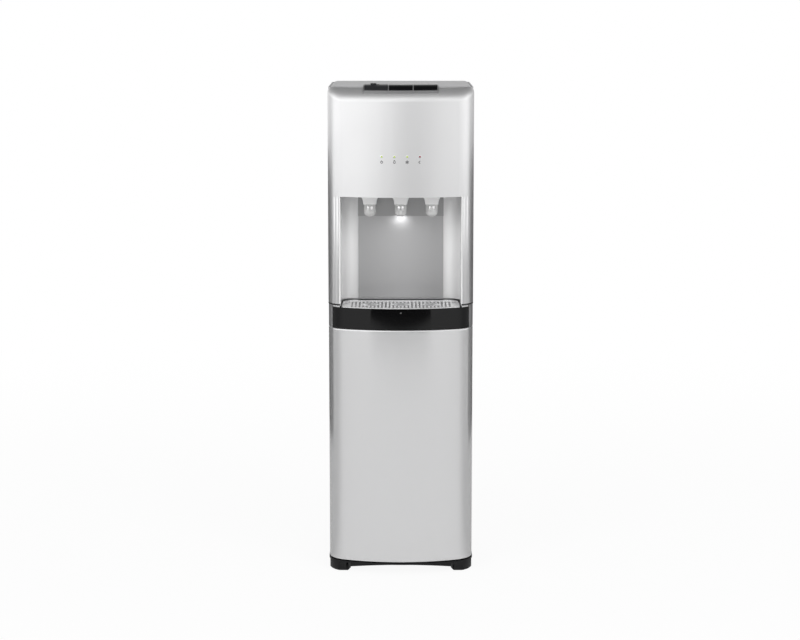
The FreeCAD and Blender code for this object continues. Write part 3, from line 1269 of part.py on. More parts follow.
def make_tanks():
    hot = ("-hot_side", "hot_depth")
    drain_z = "hot_low + drain_high"
    stand = "hot_round - stand_inset"
    wall_back = "hot_depth + hot_round"
    hot_inside = "hot_round - tank_wall"
    dome_inside = "tank_dome - tank_wall"
    hot_parts = [rod("hot_wall", "hot_round", (*hot, "hot_low"), "hot_top - hot_low"),
                 dome("hot_end_top", "hot_round", "tank_dome", (*hot, "hot_top")),
                 rod("hot_stand", stand, (*hot, f"{tank_floor} + 0.1"), f"hot_low - ({tank_floor}) + 4"),
                 rod("hot_drain", "drain_round", ("-hot_side", f"{wall_back} - 4", drain_z),
                     f"cabinet_back + drain_out - ({wall_back}) + 4", "Y")]
    hot_space = [rod("hot_water", hot_inside, (*hot, "hot_low + tank_wall"), "hot_top - hot_low - tank_wall"),
                 dome("hot_water_top", hot_inside, dome_inside, (*hot, "hot_top")),
                 rod("hot_drain_way", "drain_round - 2", ("-hot_side", f"{wall_back} - 12", drain_z),
                     f"cabinet_back + 30 - ({wall_back})", "Y"),
                 rod("hot_stand_space", f"{stand} - tank_wall", (*hot, f"{tank_floor} - 1"),
                     f"hot_low + 1 - ({tank_floor})")]
    node("hot_tank", cut("hot_tank_hollow", join("hot_tank_all", *hot_parts), *hot_space))
    node("heater_band", ring_tube("heater_ring", "hot_round + heater_thick", "hot_round + 0.1",
                                  (*hot, "hot_low + heater_gap"), "heater_tall"))
    cap_solid = rod("drain_cap_body", "drain_round + drain_cap_wall",
                    ("-hot_side", "cabinet_back + 1", drain_z), "drain_cap_long", "Y")
    cap_bore = rod("drain_cap_bore", "drain_round + snug", ("-hot_side", "cabinet_back - 5", drain_z),
                   "drain_out + 5 + snug", "Y")
    node("drain_cap", cut("drain_cap_bored", cap_solid, cap_bore))
    cold = ("cold_side", "cold_depth")
    cold_inside = "cold_round - tank_wall"
    cold_parts = [rod("cold_wall", "cold_round", (*cold, "cold_low"), "cold_top - cold_low"),
                  dome("cold_end_top", "cold_round", "tank_dome", (*cold, "cold_top")),
                  rod("cold_lid", "cold_round - lid_inset", (*cold, "cold_top"), "tank_dome + lid_rise")]
    cold_space = [rod("cold_water", cold_inside, (*cold, "cold_low + tank_wall"),
                      "cold_top - cold_low - tank_wall"),
                  dome("cold_water_top", cold_inside, dome_inside, (*cold, "cold_top")),
                  rod("cold_port", "port_round", (*cold, "cold_top"), "tank_dome + lid_rise + 14")]
    node("cold_tank", cut("cold_tank_hollow", join("cold_tank_all", *cold_parts), *cold_space))
    foam = rod("foam_block", "cold_round + snug + foam_wall", (*cold, f"{tank_floor} + 0.1"),
               f"cold_top - foam_short - ({tank_floor})")
    space = rod("foam_space", "cold_round + snug", (*cold, "cold_low - 0.2"), "cold_top - cold_low + 130")
    node("cold_tank_foam", cut("foam_hollow", foam, space))


def make_water_works():
    base = ("pump_side", "pump_depth")
    top = f"{shelf_top} + pump_high"
    parts = [rod("pump_motor", "pump_round", (*base, f"{shelf_top} + 0.1"), "pump_high - pump_head_high + 1"),
             block("pump_head", ("pump_side - pump_round", "pump_side + pump_round"),
                   ("pump_depth - pump_round", "pump_depth + pump_round"), (f"{top} - pump_head_high", top))]
    node("water_pump", join("pump_all", *parts))
    spot = ("pump_side", "probe_depth")
    lance = rod("probe_lance", "probe_round", (*spot, "probe_low"), "probe_top - probe_low")
    hole = rod("probe_slot", "2", ("pump_side - 10", "probe_depth", "probe_low + slot_up"), "20", "X")
    cap_low = "probe_top - 1"
    cap = rod("probe_cap_body", "probe_cap", (*spot, cap_low), "cap_high + 1")
    skirt = rod("probe_cap_space", "probe_cap - cap_wall", (*spot, "probe_top - 5"),
                "cap_high + 1 - cap_wall")
    neck = rod("probe_neck", "probe_round + neck_wall", (*spot, "probe_top - 2"), "neck_high + 2")
    shell = cut("probe_cap_shell", cap, skirt)
    node("bottle_probe", cut("probe_all_open", join("probe_all", lance, shell, neck), hole))
    holder_x = ("pump_side - holder_half", "pump_side + holder_half")
    arm = block("holder_arm", holder_x, ("probe_depth - holder_front", f"{rear_inner} - 0.1"),
                ("holder_low", "holder_low + holder_tall"))
    foot_cup = block("holder_foot", holder_x, ("probe_depth - holder_half", f"{rear_inner} - 0.1"),
                     ("probe_low - snug - cup_tall", "probe_low - snug"))
    bore = rod("holder_bore", "probe_round + snug", (*spot, "holder_low - 20"), "holder_tall + 36")
    node("probe_holder", gather("holder_set", [cut("holder_clip", arm, bore), foot_cup]))
    board_x = f"{panel_inner} - power_stand"
    board_y = ("power_rear - power_deep", "power_rear")
    board_z = (f"{shelf_top} + power_low", f"{shelf_top} + power_low + power_tall")
    board = block("power_board_plate", (board_x, f"{board_x} + board_thick"), board_y, board_z)
    posts = []
    for index, (y, z) in enumerate(((f"{board_y[0]} + 2", f"{board_z[0]} + 2"),
                                    (f"{board_y[1]} - 2 - power_post", f"{board_z[0]} + 2"),
                                    (f"{board_y[0]} + 2", f"{board_z[1]} - 2 - power_post"),
                                    (f"{board_y[1]} - 2 - power_post", f"{board_z[1]} - 2 - power_post"))):
        posts.append(block(f"power_post_{index}", (f"{board_x} + 1", f"{panel_inner} - 0.2"),
                           (y, f"{y} + power_post"), (z, f"{z} + power_post")))
    node("power_board", join("power_board_all", board, *posts))


def make_condenser():
    y = value("coil_depth")
    half = value("coil_half")
    left = value("-riser_left")
    right = value("riser_right")
    inside = value("cabinet_back - 14")
    riser_top = value("riser_top")
    low = value("coil_low")
    pitch = value("coil_pitch")
    last = 2 * int(value("coil_loops"))
    points = [Vector(right, inside, riser_top), Vector(right, y, riser_top), Vector(right, y, low)]
    for run in range(last):
        turn_x = -half if run % 2 == 0 else half
        points.append(Vector(turn_x, y, low + run * pitch))
        points.append(Vector(turn_x, y, low + (run + 1) * pitch))
    points.append(Vector(left, y, low + last * pitch))
    points.append(Vector(left, y, riser_top))
    points.append(Vector(left, inside, riser_top))
    coil = doc.addObject("Part::Feature", "coil_tube")
    coil.Shape = tube_along(points, pitch / 2 - value("coil_bend_gap"), value("coil_round"))
    node("condenser_coil", coil)
    wires = []
    reach = "coil_round + wire_round + 0.1"
    length = "2 * (coil_loops * coil_pitch + wire_over)"
    count = int(value("wire_count"))
    for index in range(count):
        x = f"{index - (count - 1) / 2} * wire_pitch"
        for side in (-1, 1):
            start = (x, f"coil_depth + {side} * ({reach})", "coil_low - wire_over")
            wires.append(rod(f"wire_{index}_{side}", "wire_round", start, length))
    clip_y = ("cabinet_back + 0.1", "coil_depth - coil_round - 2 * wire_round - 0.3")
    clip_heights = ("coil_low + 0.5 * coil_pitch", "coil_low + (2 * coil_loops - 1.5) * coil_pitch")
    for index, height in enumerate(clip_heights):
        for side in (-1, 1):
            x = (f"{side} * clip_place - clip_wide / 2", f"{side} * clip_place + clip_wide / 2")
            wires.append(block(f"coil_clip_{index}_{side}", x, clip_y, (height, f"{height} + clip_tall")))
    node("condenser_wires", gather("wire_set", wires))


def make_switches():
    plate = block("switch_face", ("switch_side - switch_half", "switch_side + switch_half"),
                  ("cabinet_back + 0.1", "cabinet_back + 0.1 + switch_thick"),
                  ("switch_high - switch_tall", "switch_high + switch_tall"))
    tub = block("switch_tub", ("switch_side - tub_half", "switch_side + tub_half"),
                ("cabinet_back - tub_deep", "cabinet_back + 1"),
                ("switch_high - tub_tall", "switch_high + tub_tall"))
    wells = []
    for index, name in enumerate(("heat", "cool", "light")):
        centre = f"switch_side + {index - 1} * switch_pitch"
        well_x = (f"{centre} - rocker_half - 0.5", f"{centre} + rocker_half + 0.5")
        wells.append(block(f"switch_well_{name}", well_x, ("cabinet_back - well_depth", "cabinet_back + 20"),
                           ("switch_high - rocker_reach - 1.6", "switch_high + rocker_reach + 1.6")))
        rocker = doc.addObject("PartDesign::Body", f"rocker_{name}")
        sketch = new_sketch(rocker, f"rocker_{name}_side", "YZ_Plane")
        polygon(sketch, [("-rocker_root", "-(rocker_reach - rocker_taper)"), ("rocker_tip", "-rocker_reach"),
                         ("rocker_waist", "0"), ("rocker_tip", "rocker_reach"),
                         ("-rocker_root", "rocker_reach - rocker_taper")])
        pad(rocker, sketch, "2 * rocker_half", midplane=True)
        rocker.Placement = Placement(Vector(), Rotation(Vector(1, 0, 0), -value("rocker_tilt")))
        place(rocker, centre, "cabinet_back + rocker_pivot", "switch_high")
        node(f"{name}_rocker", rocker)
    node("switch_plate", cut("switch_plate_open", join("switch_solid", plate, tub), *wells))


make_base()
make_side_panel("left_side_panel", -1)
make_side_panel("right_side_panel", 1)
make_rear_panels()
make_gland()
make_screws()
hose_hole = rod("hose_hole", "hose_round + 1", ("pump_side", "probe_depth", "shelf_low - 5"), "12")
make_shelf("compressor_shelf", "shelf_low", [hose_hole])
outlet_hole = rod("outlet_hole", "hose_round + 1", ("pump_side", "pump_depth", "tank_shelf_low - 5"), "12")
make_shelf("tank_shelf", "tank_shelf_low", [outlet_hole])
upper_shell = crown_shell()
make_upper_front(upper_shell)
make_top_cover(upper_shell)
make_alcove()
make_taps()
make_hoses()
make_lamps()
make_tray()
make_cradle()
make_door()
make_buttons()
make_compressor()
make_tanks()
make_water_works()
make_condenser()
make_switches()

doc.recompute()


# ---------- checks and files ----------

faults = [f"{item.Label}: {', '.join(item.State)}" for item in doc.Objects
          if "Invalid" in item.State or "Error" in item.State]
for label, item in nodes.items():
    shape = item.Shape
    if shape.isNull():
        faults.append(f"{label}: no shape")
    elif not shape.isValid():
        faults.append(f"{label}: shape is not valid")
    elif not shape.Solids:
        faults.append(f"{label}: no solid")
    elif item.Label != label:
        faults.append(f"{label}: label taken, became {item.Label}")
if faults:
    raise RuntimeError("; ".join(faults))

os.makedirs("parts", exist_ok=True)
for label, item in nodes.items():
    item.Shape.exportStep(f"parts/{label}.step")
    print(f"{label}: {len(item.Shape.Solids)} solids, {item.Shape.Volume / 1000:.1f} cm3")
print(len(nodes), "nodes")
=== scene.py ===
import json
import math

import bmesh
import bpy
from mathutils import Matrix, Vector


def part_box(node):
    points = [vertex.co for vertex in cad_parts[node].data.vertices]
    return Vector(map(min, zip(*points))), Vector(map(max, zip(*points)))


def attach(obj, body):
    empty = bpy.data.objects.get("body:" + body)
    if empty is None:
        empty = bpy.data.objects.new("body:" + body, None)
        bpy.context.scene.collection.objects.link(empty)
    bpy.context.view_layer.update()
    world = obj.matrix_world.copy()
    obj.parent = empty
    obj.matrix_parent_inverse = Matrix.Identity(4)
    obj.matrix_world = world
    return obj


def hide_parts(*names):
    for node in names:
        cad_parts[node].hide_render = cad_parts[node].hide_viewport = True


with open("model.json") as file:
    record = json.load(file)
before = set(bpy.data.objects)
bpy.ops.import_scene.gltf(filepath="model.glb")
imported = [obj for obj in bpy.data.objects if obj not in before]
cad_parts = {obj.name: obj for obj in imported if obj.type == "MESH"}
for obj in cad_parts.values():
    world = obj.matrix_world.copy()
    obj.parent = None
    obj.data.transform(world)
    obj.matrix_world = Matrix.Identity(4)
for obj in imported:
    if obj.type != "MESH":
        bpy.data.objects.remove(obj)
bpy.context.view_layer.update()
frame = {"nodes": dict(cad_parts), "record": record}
nodes = frame["nodes"]

# ----- camera and studio -----

camera = {"place": (0.0, -4.5, 1.215), "tilt": 81.28, "lens": 93.465, "sensor": 36,
          "shift": (-0.001, -0.0006), "reach": 60}


def makeCamera():
    data = bpy.data.cameras.new("camera")
    data.lens = camera["lens"]
    data.sensor_width = camera["sensor"]
    data.shift_x, data.shift_y = camera["shift"]
    data.clip_end = camera["reach"]
    made = bpy.data.objects.new("camera", data)
    made.location = camera["place"]
    made.rotation_euler = (math.radians(camera["tilt"]), 0, 0)
    bpy.context.scene.collection.objects.link(made)
    bpy.context.scene.camera = made
    bpy.context.scene.view_settings.view_transform = "Standard"


softBoxes = [
    # name, place, aimed at, width, height, watts
    ("leftBox", (-1.75, -2.3, 2.0), (0, 0, 0.60), 1.1, 1.1, 26),
    ("rightBox", (1.75, -2.3, 2.0), (0, 0, 0.60), 1.1, 1.1, 26),
    ("topBox", (0.0, -0.5, 2.6), (0, 0, 0.5), 1.6, 1.2, 8),
    ("rearBox", (0.0, 2.8, 1.8), (0, 0, 0.6), 1.6, 1.2, 18),
]


def makeLight(name, place, turn, wide, tall, watts):
    data = bpy.data.lights.new(name, "AREA")
    data.shape = "RECTANGLE"
    data.size, data.size_y = wide, tall
    data.energy = watts
    light = bpy.data.objects.new(name, data)
    light.location = place
    light.rotation_euler = turn
    light.visible_glossy = False  # reflections see the studio's sky, not its lights
    bpy.context.scene.collection.objects.link(light)


def makeSoftBoxes():
    for name, place, goal, wide, tall, watts in softBoxes:
        turn = (Vector(goal) - Vector(place)).to_track_quat("-Z", "Y").to_euler()
        makeLight(name, place, turn, wide, tall, watts)


def newTree(owner):
    owner.use_nodes = True
    owner.node_tree.nodes.clear()
    return owner.node_tree


def addNode(tree, kind, **settings):
    made = tree.nodes.new(kind)
    for key, amount in settings.items():
        if key.startswith("set"):
            made.inputs[int(key[3:])].default_value = amount
        else:
            setattr(made, key, amount)
    return made


def wire(tree, *pairs):
    for start, end in pairs:
        tree.links.new(start, end)


def rescale(node, before, after=(0, 1)):
    node.inputs["From Min"].default_value, node.inputs["From Max"].default_value = before
    node.inputs["To Min"].default_value, node.inputs["To Max"].default_value = after


# shades by direction, from one side to the other, from below to above and from front to back
sky = {
    "ambient": 0.42, "mirror": 2.75,
    "sideways": [(0.0, 1.0), (0.22, 0.93), (0.36, 0.79), (0.44, 0.60), (0.50, 0.43), (0.58, 0.395),
                 (0.66, 0.43), (0.80, 0.57), (0.92, 0.74), (1.0, 0.96)],
    "raised": [(0.0, 0.50), (0.10, 0.45), (0.22, 0.42), (0.40, 0.51), (0.50, 0.57), (0.60, 0.50),
               (0.78, 0.40), (0.90, 0.42), (1.0, 0.48)],
    "even": [(0.0, 0.0), (0.50, 0.0), (0.545, 0.35), (0.60, 1.0), (1.0, 1.0)],
    "upwards": [(0.0, 0.70), (0.45, 0.80), (0.50, 0.86), (0.56, 1.0), (0.63, 0.96), (0.70, 0.68),
                (0.77, 0.42), (0.85, 0.24), (0.93, 0.11), (1.0, 0.09)],
    "behind": [(0.0, 1.0), (0.55, 1.0), (0.68, 0.45), (1.0, 0.60)],
}


def skyBand(tree, way, stops):
    ramp = addNode(tree, "ShaderNodeValToRGB")
    ramp.color_ramp.interpolation = "B_SPLINE"
    while len(ramp.color_ramp.elements) < len(stops):
        ramp.color_ramp.elements.new(0.5)
    for stop, (spot, shade) in zip(ramp.color_ramp.elements, stops):
        stop.position = spot
        stop.color = (shade, shade, shade, 1)
    share = addNode(tree, "ShaderNodeMapRange")
    rescale(share, (-1, 1))
    wire(tree, (way, share.inputs["Value"]), (share.outputs["Result"], ramp.inputs["Fac"]))
    return ramp.outputs["Color"]


def skyMix(tree, share, first, second, **settings):
    mix = addNode(tree, "ShaderNodeMix", data_type="RGBA", **settings)
    if share:
        wire(tree, (share, mix.inputs[0]))
    wire(tree, (first, mix.inputs[6]), (second, mix.inputs[7]))
    return mix.outputs[2]


def makeSky():
    world = bpy.data.worlds.new("studioWorld")
    bpy.context.scene.world = world
    tree = newTree(world)
    out = addNode(tree, "ShaderNodeOutputWorld")
    path = addNode(tree, "ShaderNodeLightPath")
    split = addNode(tree, "ShaderNodeSeparateXYZ")
    wire(tree, (addNode(tree, "ShaderNodeTexCoord").outputs["Generated"], split.inputs[0]))
    across, away, up = split.outputs["X"], split.outputs["Y"], split.outputs["Z"]
    evened = skyMix(tree, skyBand(tree, up, sky["even"]), skyBand(tree, across, sky["sideways"]),
                    skyBand(tree, across, sky["raised"]))
    raised = skyMix(tree, None, evened, skyBand(tree, up, sky["upwards"]), blend_type="MULTIPLY", set0=1)
    mirrored = skyMix(tree, None, raised, skyBand(tree, away, sky["behind"]), blend_type="MULTIPLY", set0=1)
    ambientGlow = addNode(tree, "ShaderNodeBackground", set0=(1, 1, 1, 1), set1=sky["ambient"])
    mirrorGlow = addNode(tree, "ShaderNodeBackground", set1=sky["mirror"])
    whiteGlow = addNode(tree, "ShaderNodeBackground", set0=(1, 1, 1, 1))
    mixMirror = addNode(tree, "ShaderNodeMixShader")
    mixCamera = addNode(tree, "ShaderNodeMixShader")
    cameraOrClear = addNode(tree, "ShaderNodeMath", operation="MAXIMUM")
    wire(tree, (mirrored, mirrorGlow.inputs["Color"]),
         (path.outputs["Is Camera Ray"], cameraOrClear.inputs[0]),
         (path.outputs["Is Transmission Ray"], cameraOrClear.inputs[1]),
         (path.outputs["Is Glossy Ray"], mixMirror.inputs[0]), (ambientGlow.outputs[0], mixMirror.inputs[1]),
         (mirrorGlow.outputs[0], mixMirror.inputs[2]), (cameraOrClear.outputs[0], mixCamera.inputs[0]),
         (mixMirror.outputs[0], mixCamera.inputs[1]), (whiteGlow.outputs[0], mixCamera.inputs[2]),
         (mixCamera.outputs[0], out.inputs[0]))


# the camera sees plain white past the fade; reflections see a floor that shines more towards the front
floor = {"half": 9.0, "below": 0.0002, "shade": 0.86, "white": 0.93, "fade": (0.3, 3.0),
         "turn": (-0.2, -0.85), "mirror": (0.46, 0.82)}


def floorPaint():
    material = bpy.data.materials.new("studioFloorPaint")
    tree = newTree(material)
    out = addNode(tree, "ShaderNodeOutputMaterial")
    base = addNode(tree, "ShaderNodeBsdfDiffuse", set0=(floor["shade"],) * 3 + (1,))
    white = addNode(tree, "ShaderNodeEmission", set0=(1, 1, 1, 1))
    shine = addNode(tree, "ShaderNodeEmission")
    seen = addNode(tree, "ShaderNodeMixShader")
    mirrored = addNode(tree, "ShaderNodeMixShader")
    path = addNode(tree, "ShaderNodeLightPath")
    place = addNode(tree, "ShaderNodeTexCoord").outputs["Object"]
    away = addNode(tree, "ShaderNodeVectorMath", operation="LENGTH")
    split = addNode(tree, "ShaderNodeSeparateXYZ")
    bearing = addNode(tree, "ShaderNodeMath", operation="DIVIDE")
    turn = addNode(tree, "ShaderNodeMapRange", interpolation_type="SMOOTHSTEP")
    rescale(turn, floor["turn"], floor["mirror"])
    fade = addNode(tree, "ShaderNodeMapRange", interpolation_type="SMOOTHSTEP")
    rescale(fade, floor["fade"], (floor["white"], 1))
    share = addNode(tree, "ShaderNodeMath", operation="MULTIPLY")
    wire(tree, (place, away.inputs[0]), (place, split.inputs[0]), (split.outputs["Y"], bearing.inputs[0]),
         (away.outputs["Value"], bearing.inputs[1]), (bearing.outputs[0], turn.inputs["Value"]),
         (turn.outputs["Result"], shine.inputs["Strength"]), (away.outputs["Value"], fade.inputs["Value"]),
         (path.outputs["Is Camera Ray"], share.inputs[0]), (fade.outputs["Result"], share.inputs[1]),
         (path.outputs["Is Glossy Ray"], mirrored.inputs[0]), (base.outputs[0], mirrored.inputs[1]),
         (shine.outputs[0], mirrored.inputs[2]), (share.outputs[0], seen.inputs[0]),
         (mirrored.outputs[0], seen.inputs[1]), (white.outputs[0], seen.inputs[2]),
         (seen.outputs[0], out.inputs[0]))
    return material


def makeFloor():
    shape = bmesh.new()
    bmesh.ops.create_grid(shape, x_segments=1, y_segments=1, size=floor["half"])
    bmesh.ops.translate(shape, verts=shape.verts, vec=(0, 0, -floor["below"]))
    mesh = bpy.data.meshes.new("studioFloor")
    shape.to_mesh(mesh)
    shape.free()
    studioFloor = bpy.data.objects.new("studioFloor", mesh)
    bpy.context.scene.collection.objects.link(studioFloor)
    mesh.materials.append(floorPaint())


# dark cards that only reflections see: one in front for the black tray, two behind for the side edges
cardShade = 0.03
cards = [
    # name, corners
    ("frontCard", [(-1.5, -3.5, 0.002), (1.5, -3.5, 0.002), (2.4, -6.5, 0.002), (-2.4, -6.5, 0.002)]),
    ("leftCard", [(-1.5, 0.3, 0), (-0.6, 1.6, 0), (-0.6, 1.6, 0.8), (-1.5, 0.3, 0.8)]),
    ("rightCard", [(1.5, 0.3, 0), (0.6, 1.6, 0), (0.6, 1.6, 0.8), (1.5, 0.3, 0.8)]),
]


def makeCards():
    paint = bpy.data.materials.new("cardPaint")
    tree = newTree(paint)
    out = addNode(tree, "ShaderNodeOutputMaterial")
    wire(tree, (addNode(tree, "ShaderNodeEmission", set0=(cardShade,) * 3 + (1,)).outputs[0], out.inputs[0]))
    for name, corners in cards:
        shape = bmesh.new()
        shape.faces.new([shape.verts.new(corner) for corner in corners])
        mesh = bpy.data.meshes.new(name)
        shape.to_mesh(mesh)
        shape.free()
        card = bpy.data.objects.new(name, mesh)
        bpy.context.scene.collection.objects.link(card)
        mesh.materials.append(paint)
        card.visible_camera = card.visible_diffuse = card.visible_shadow = card.visible_transmission = False


makeCamera()
makeSoftBoxes()
makeSky()
makeFloor()
makeCards()
print("studio ready")

# ----- shared effects -----


def newGroup(name, inputs, outputs):
    group = bpy.data.node_groups.new(name, "ShaderNodeTree")
    for label, start in inputs:
        socket = group.interface.new_socket(label, in_out="INPUT", socket_type="NodeSocketFloat")
        socket.default_value = start
    for label in outputs:
        group.interface.new_socket(label, in_out="OUTPUT", socket_type="NodeSocketFloat")
    return group, group.nodes.new("NodeGroupInput"), group.nodes.new("NodeGroupOutput")


def noiseAt(group, place, scale, detail, rough=0.55):
    noise = addNode(group, "ShaderNodeTexNoise")
    noise.inputs["Detail"].default_value = detail
    noise.inputs["Roughness"].default_value = rough
    group.links.new(place, noise.inputs["Vector"])
    if isinstance(scale, (int, float)):
        noise.inputs["Scale"].default_value = scale
    else:
        group.links.new(scale, noise.inputs["Scale"])
    return noise.outputs["Fac"]


def buildGrain():
    group, start, end = newGroup("mouldGrain", [("Scale", 900), ("Pits", 0.3)], ["Height", "Fleck"])
    place = addNode(group, "ShaderNodeTexCoord").outputs["Object"]
    soft = noiseAt(group, place, start.outputs["Scale"], 3)
    cells = addNode(group, "ShaderNodeTexVoronoi", feature="F1")
    mix = addNode(group, "ShaderNodeMix", data_type="FLOAT")
    wire(group, (place, cells.inputs["Vector"]), (start.outputs["Scale"], cells.inputs["Scale"]),
         (start.outputs["Pits"], mix.inputs[0]), (soft, mix.inputs[2]),
         (cells.outputs["Distance"], mix.inputs[3]), (mix.outputs[0], end.inputs["Height"]),
         (soft, end.inputs["Fleck"]))
    return group


smudge = {"fineScale": 260, "fineShare": 0.35, "range": (0.42, 0.92)}


def buildSmudge():
    group, start, end = newGroup("handledGloss", [("Scale", 7), ("Low", 0.25), ("High", 0.35)],
                                 ["Roughness", "Mask"])
    place = addNode(group, "ShaderNodeTexCoord").outputs["Object"]
    broad = noiseAt(group, place, start.outputs["Scale"], 2)
    fine = noiseAt(group, place, smudge["fineScale"], 4)
    both = addNode(group, "ShaderNodeMath", operation="MULTIPLY_ADD", set1=smudge["fineShare"])
    gloss = addNode(group, "ShaderNodeMapRange")
    rescale(gloss, smudge["range"])
    wire(group, (fine, both.inputs[0]), (broad, both.inputs[2]), (both.outputs[0], gloss.inputs["Value"]),
         (start.outputs["Low"], gloss.inputs["To Min"]), (start.outputs["High"], gloss.inputs["To Max"]),
         (gloss.outputs["Result"], end.inputs["Roughness"]), (both.outputs[0], end.inputs["Mask"]))
    return group


def buildBrushed():
    group, start, end = newGroup("drawnLines", [("Across", 2600), ("Along", 20)], ["Height", "Streak"])
    place = addNode(group, "ShaderNodeTexCoord").outputs["Object"]
    stretch = addNode(group, "ShaderNodeCombineXYZ")
    scaled = addNode(group, "ShaderNodeVectorMath", operation="MULTIPLY")
    across = start.outputs["Across"]
    wire(group, (across, stretch.inputs["X"]), (across, stretch.inputs["Y"]),
         (start.outputs["Along"], stretch.inputs["Z"]), (place, scaled.inputs[0]),
         (stretch.outputs[0], scaled.inputs[1]))
    lines = noiseAt(group, scaled.outputs[0], 1, 2)
    wire(group, (lines, end.inputs["Height"]), (lines, end.inputs["Streak"]))
    return group


grainGroup = buildGrain()
smudgeGroup = buildSmudge()
brushedGroup = buildBrushed()
print("shared effects ready")

# ----- finishes -----

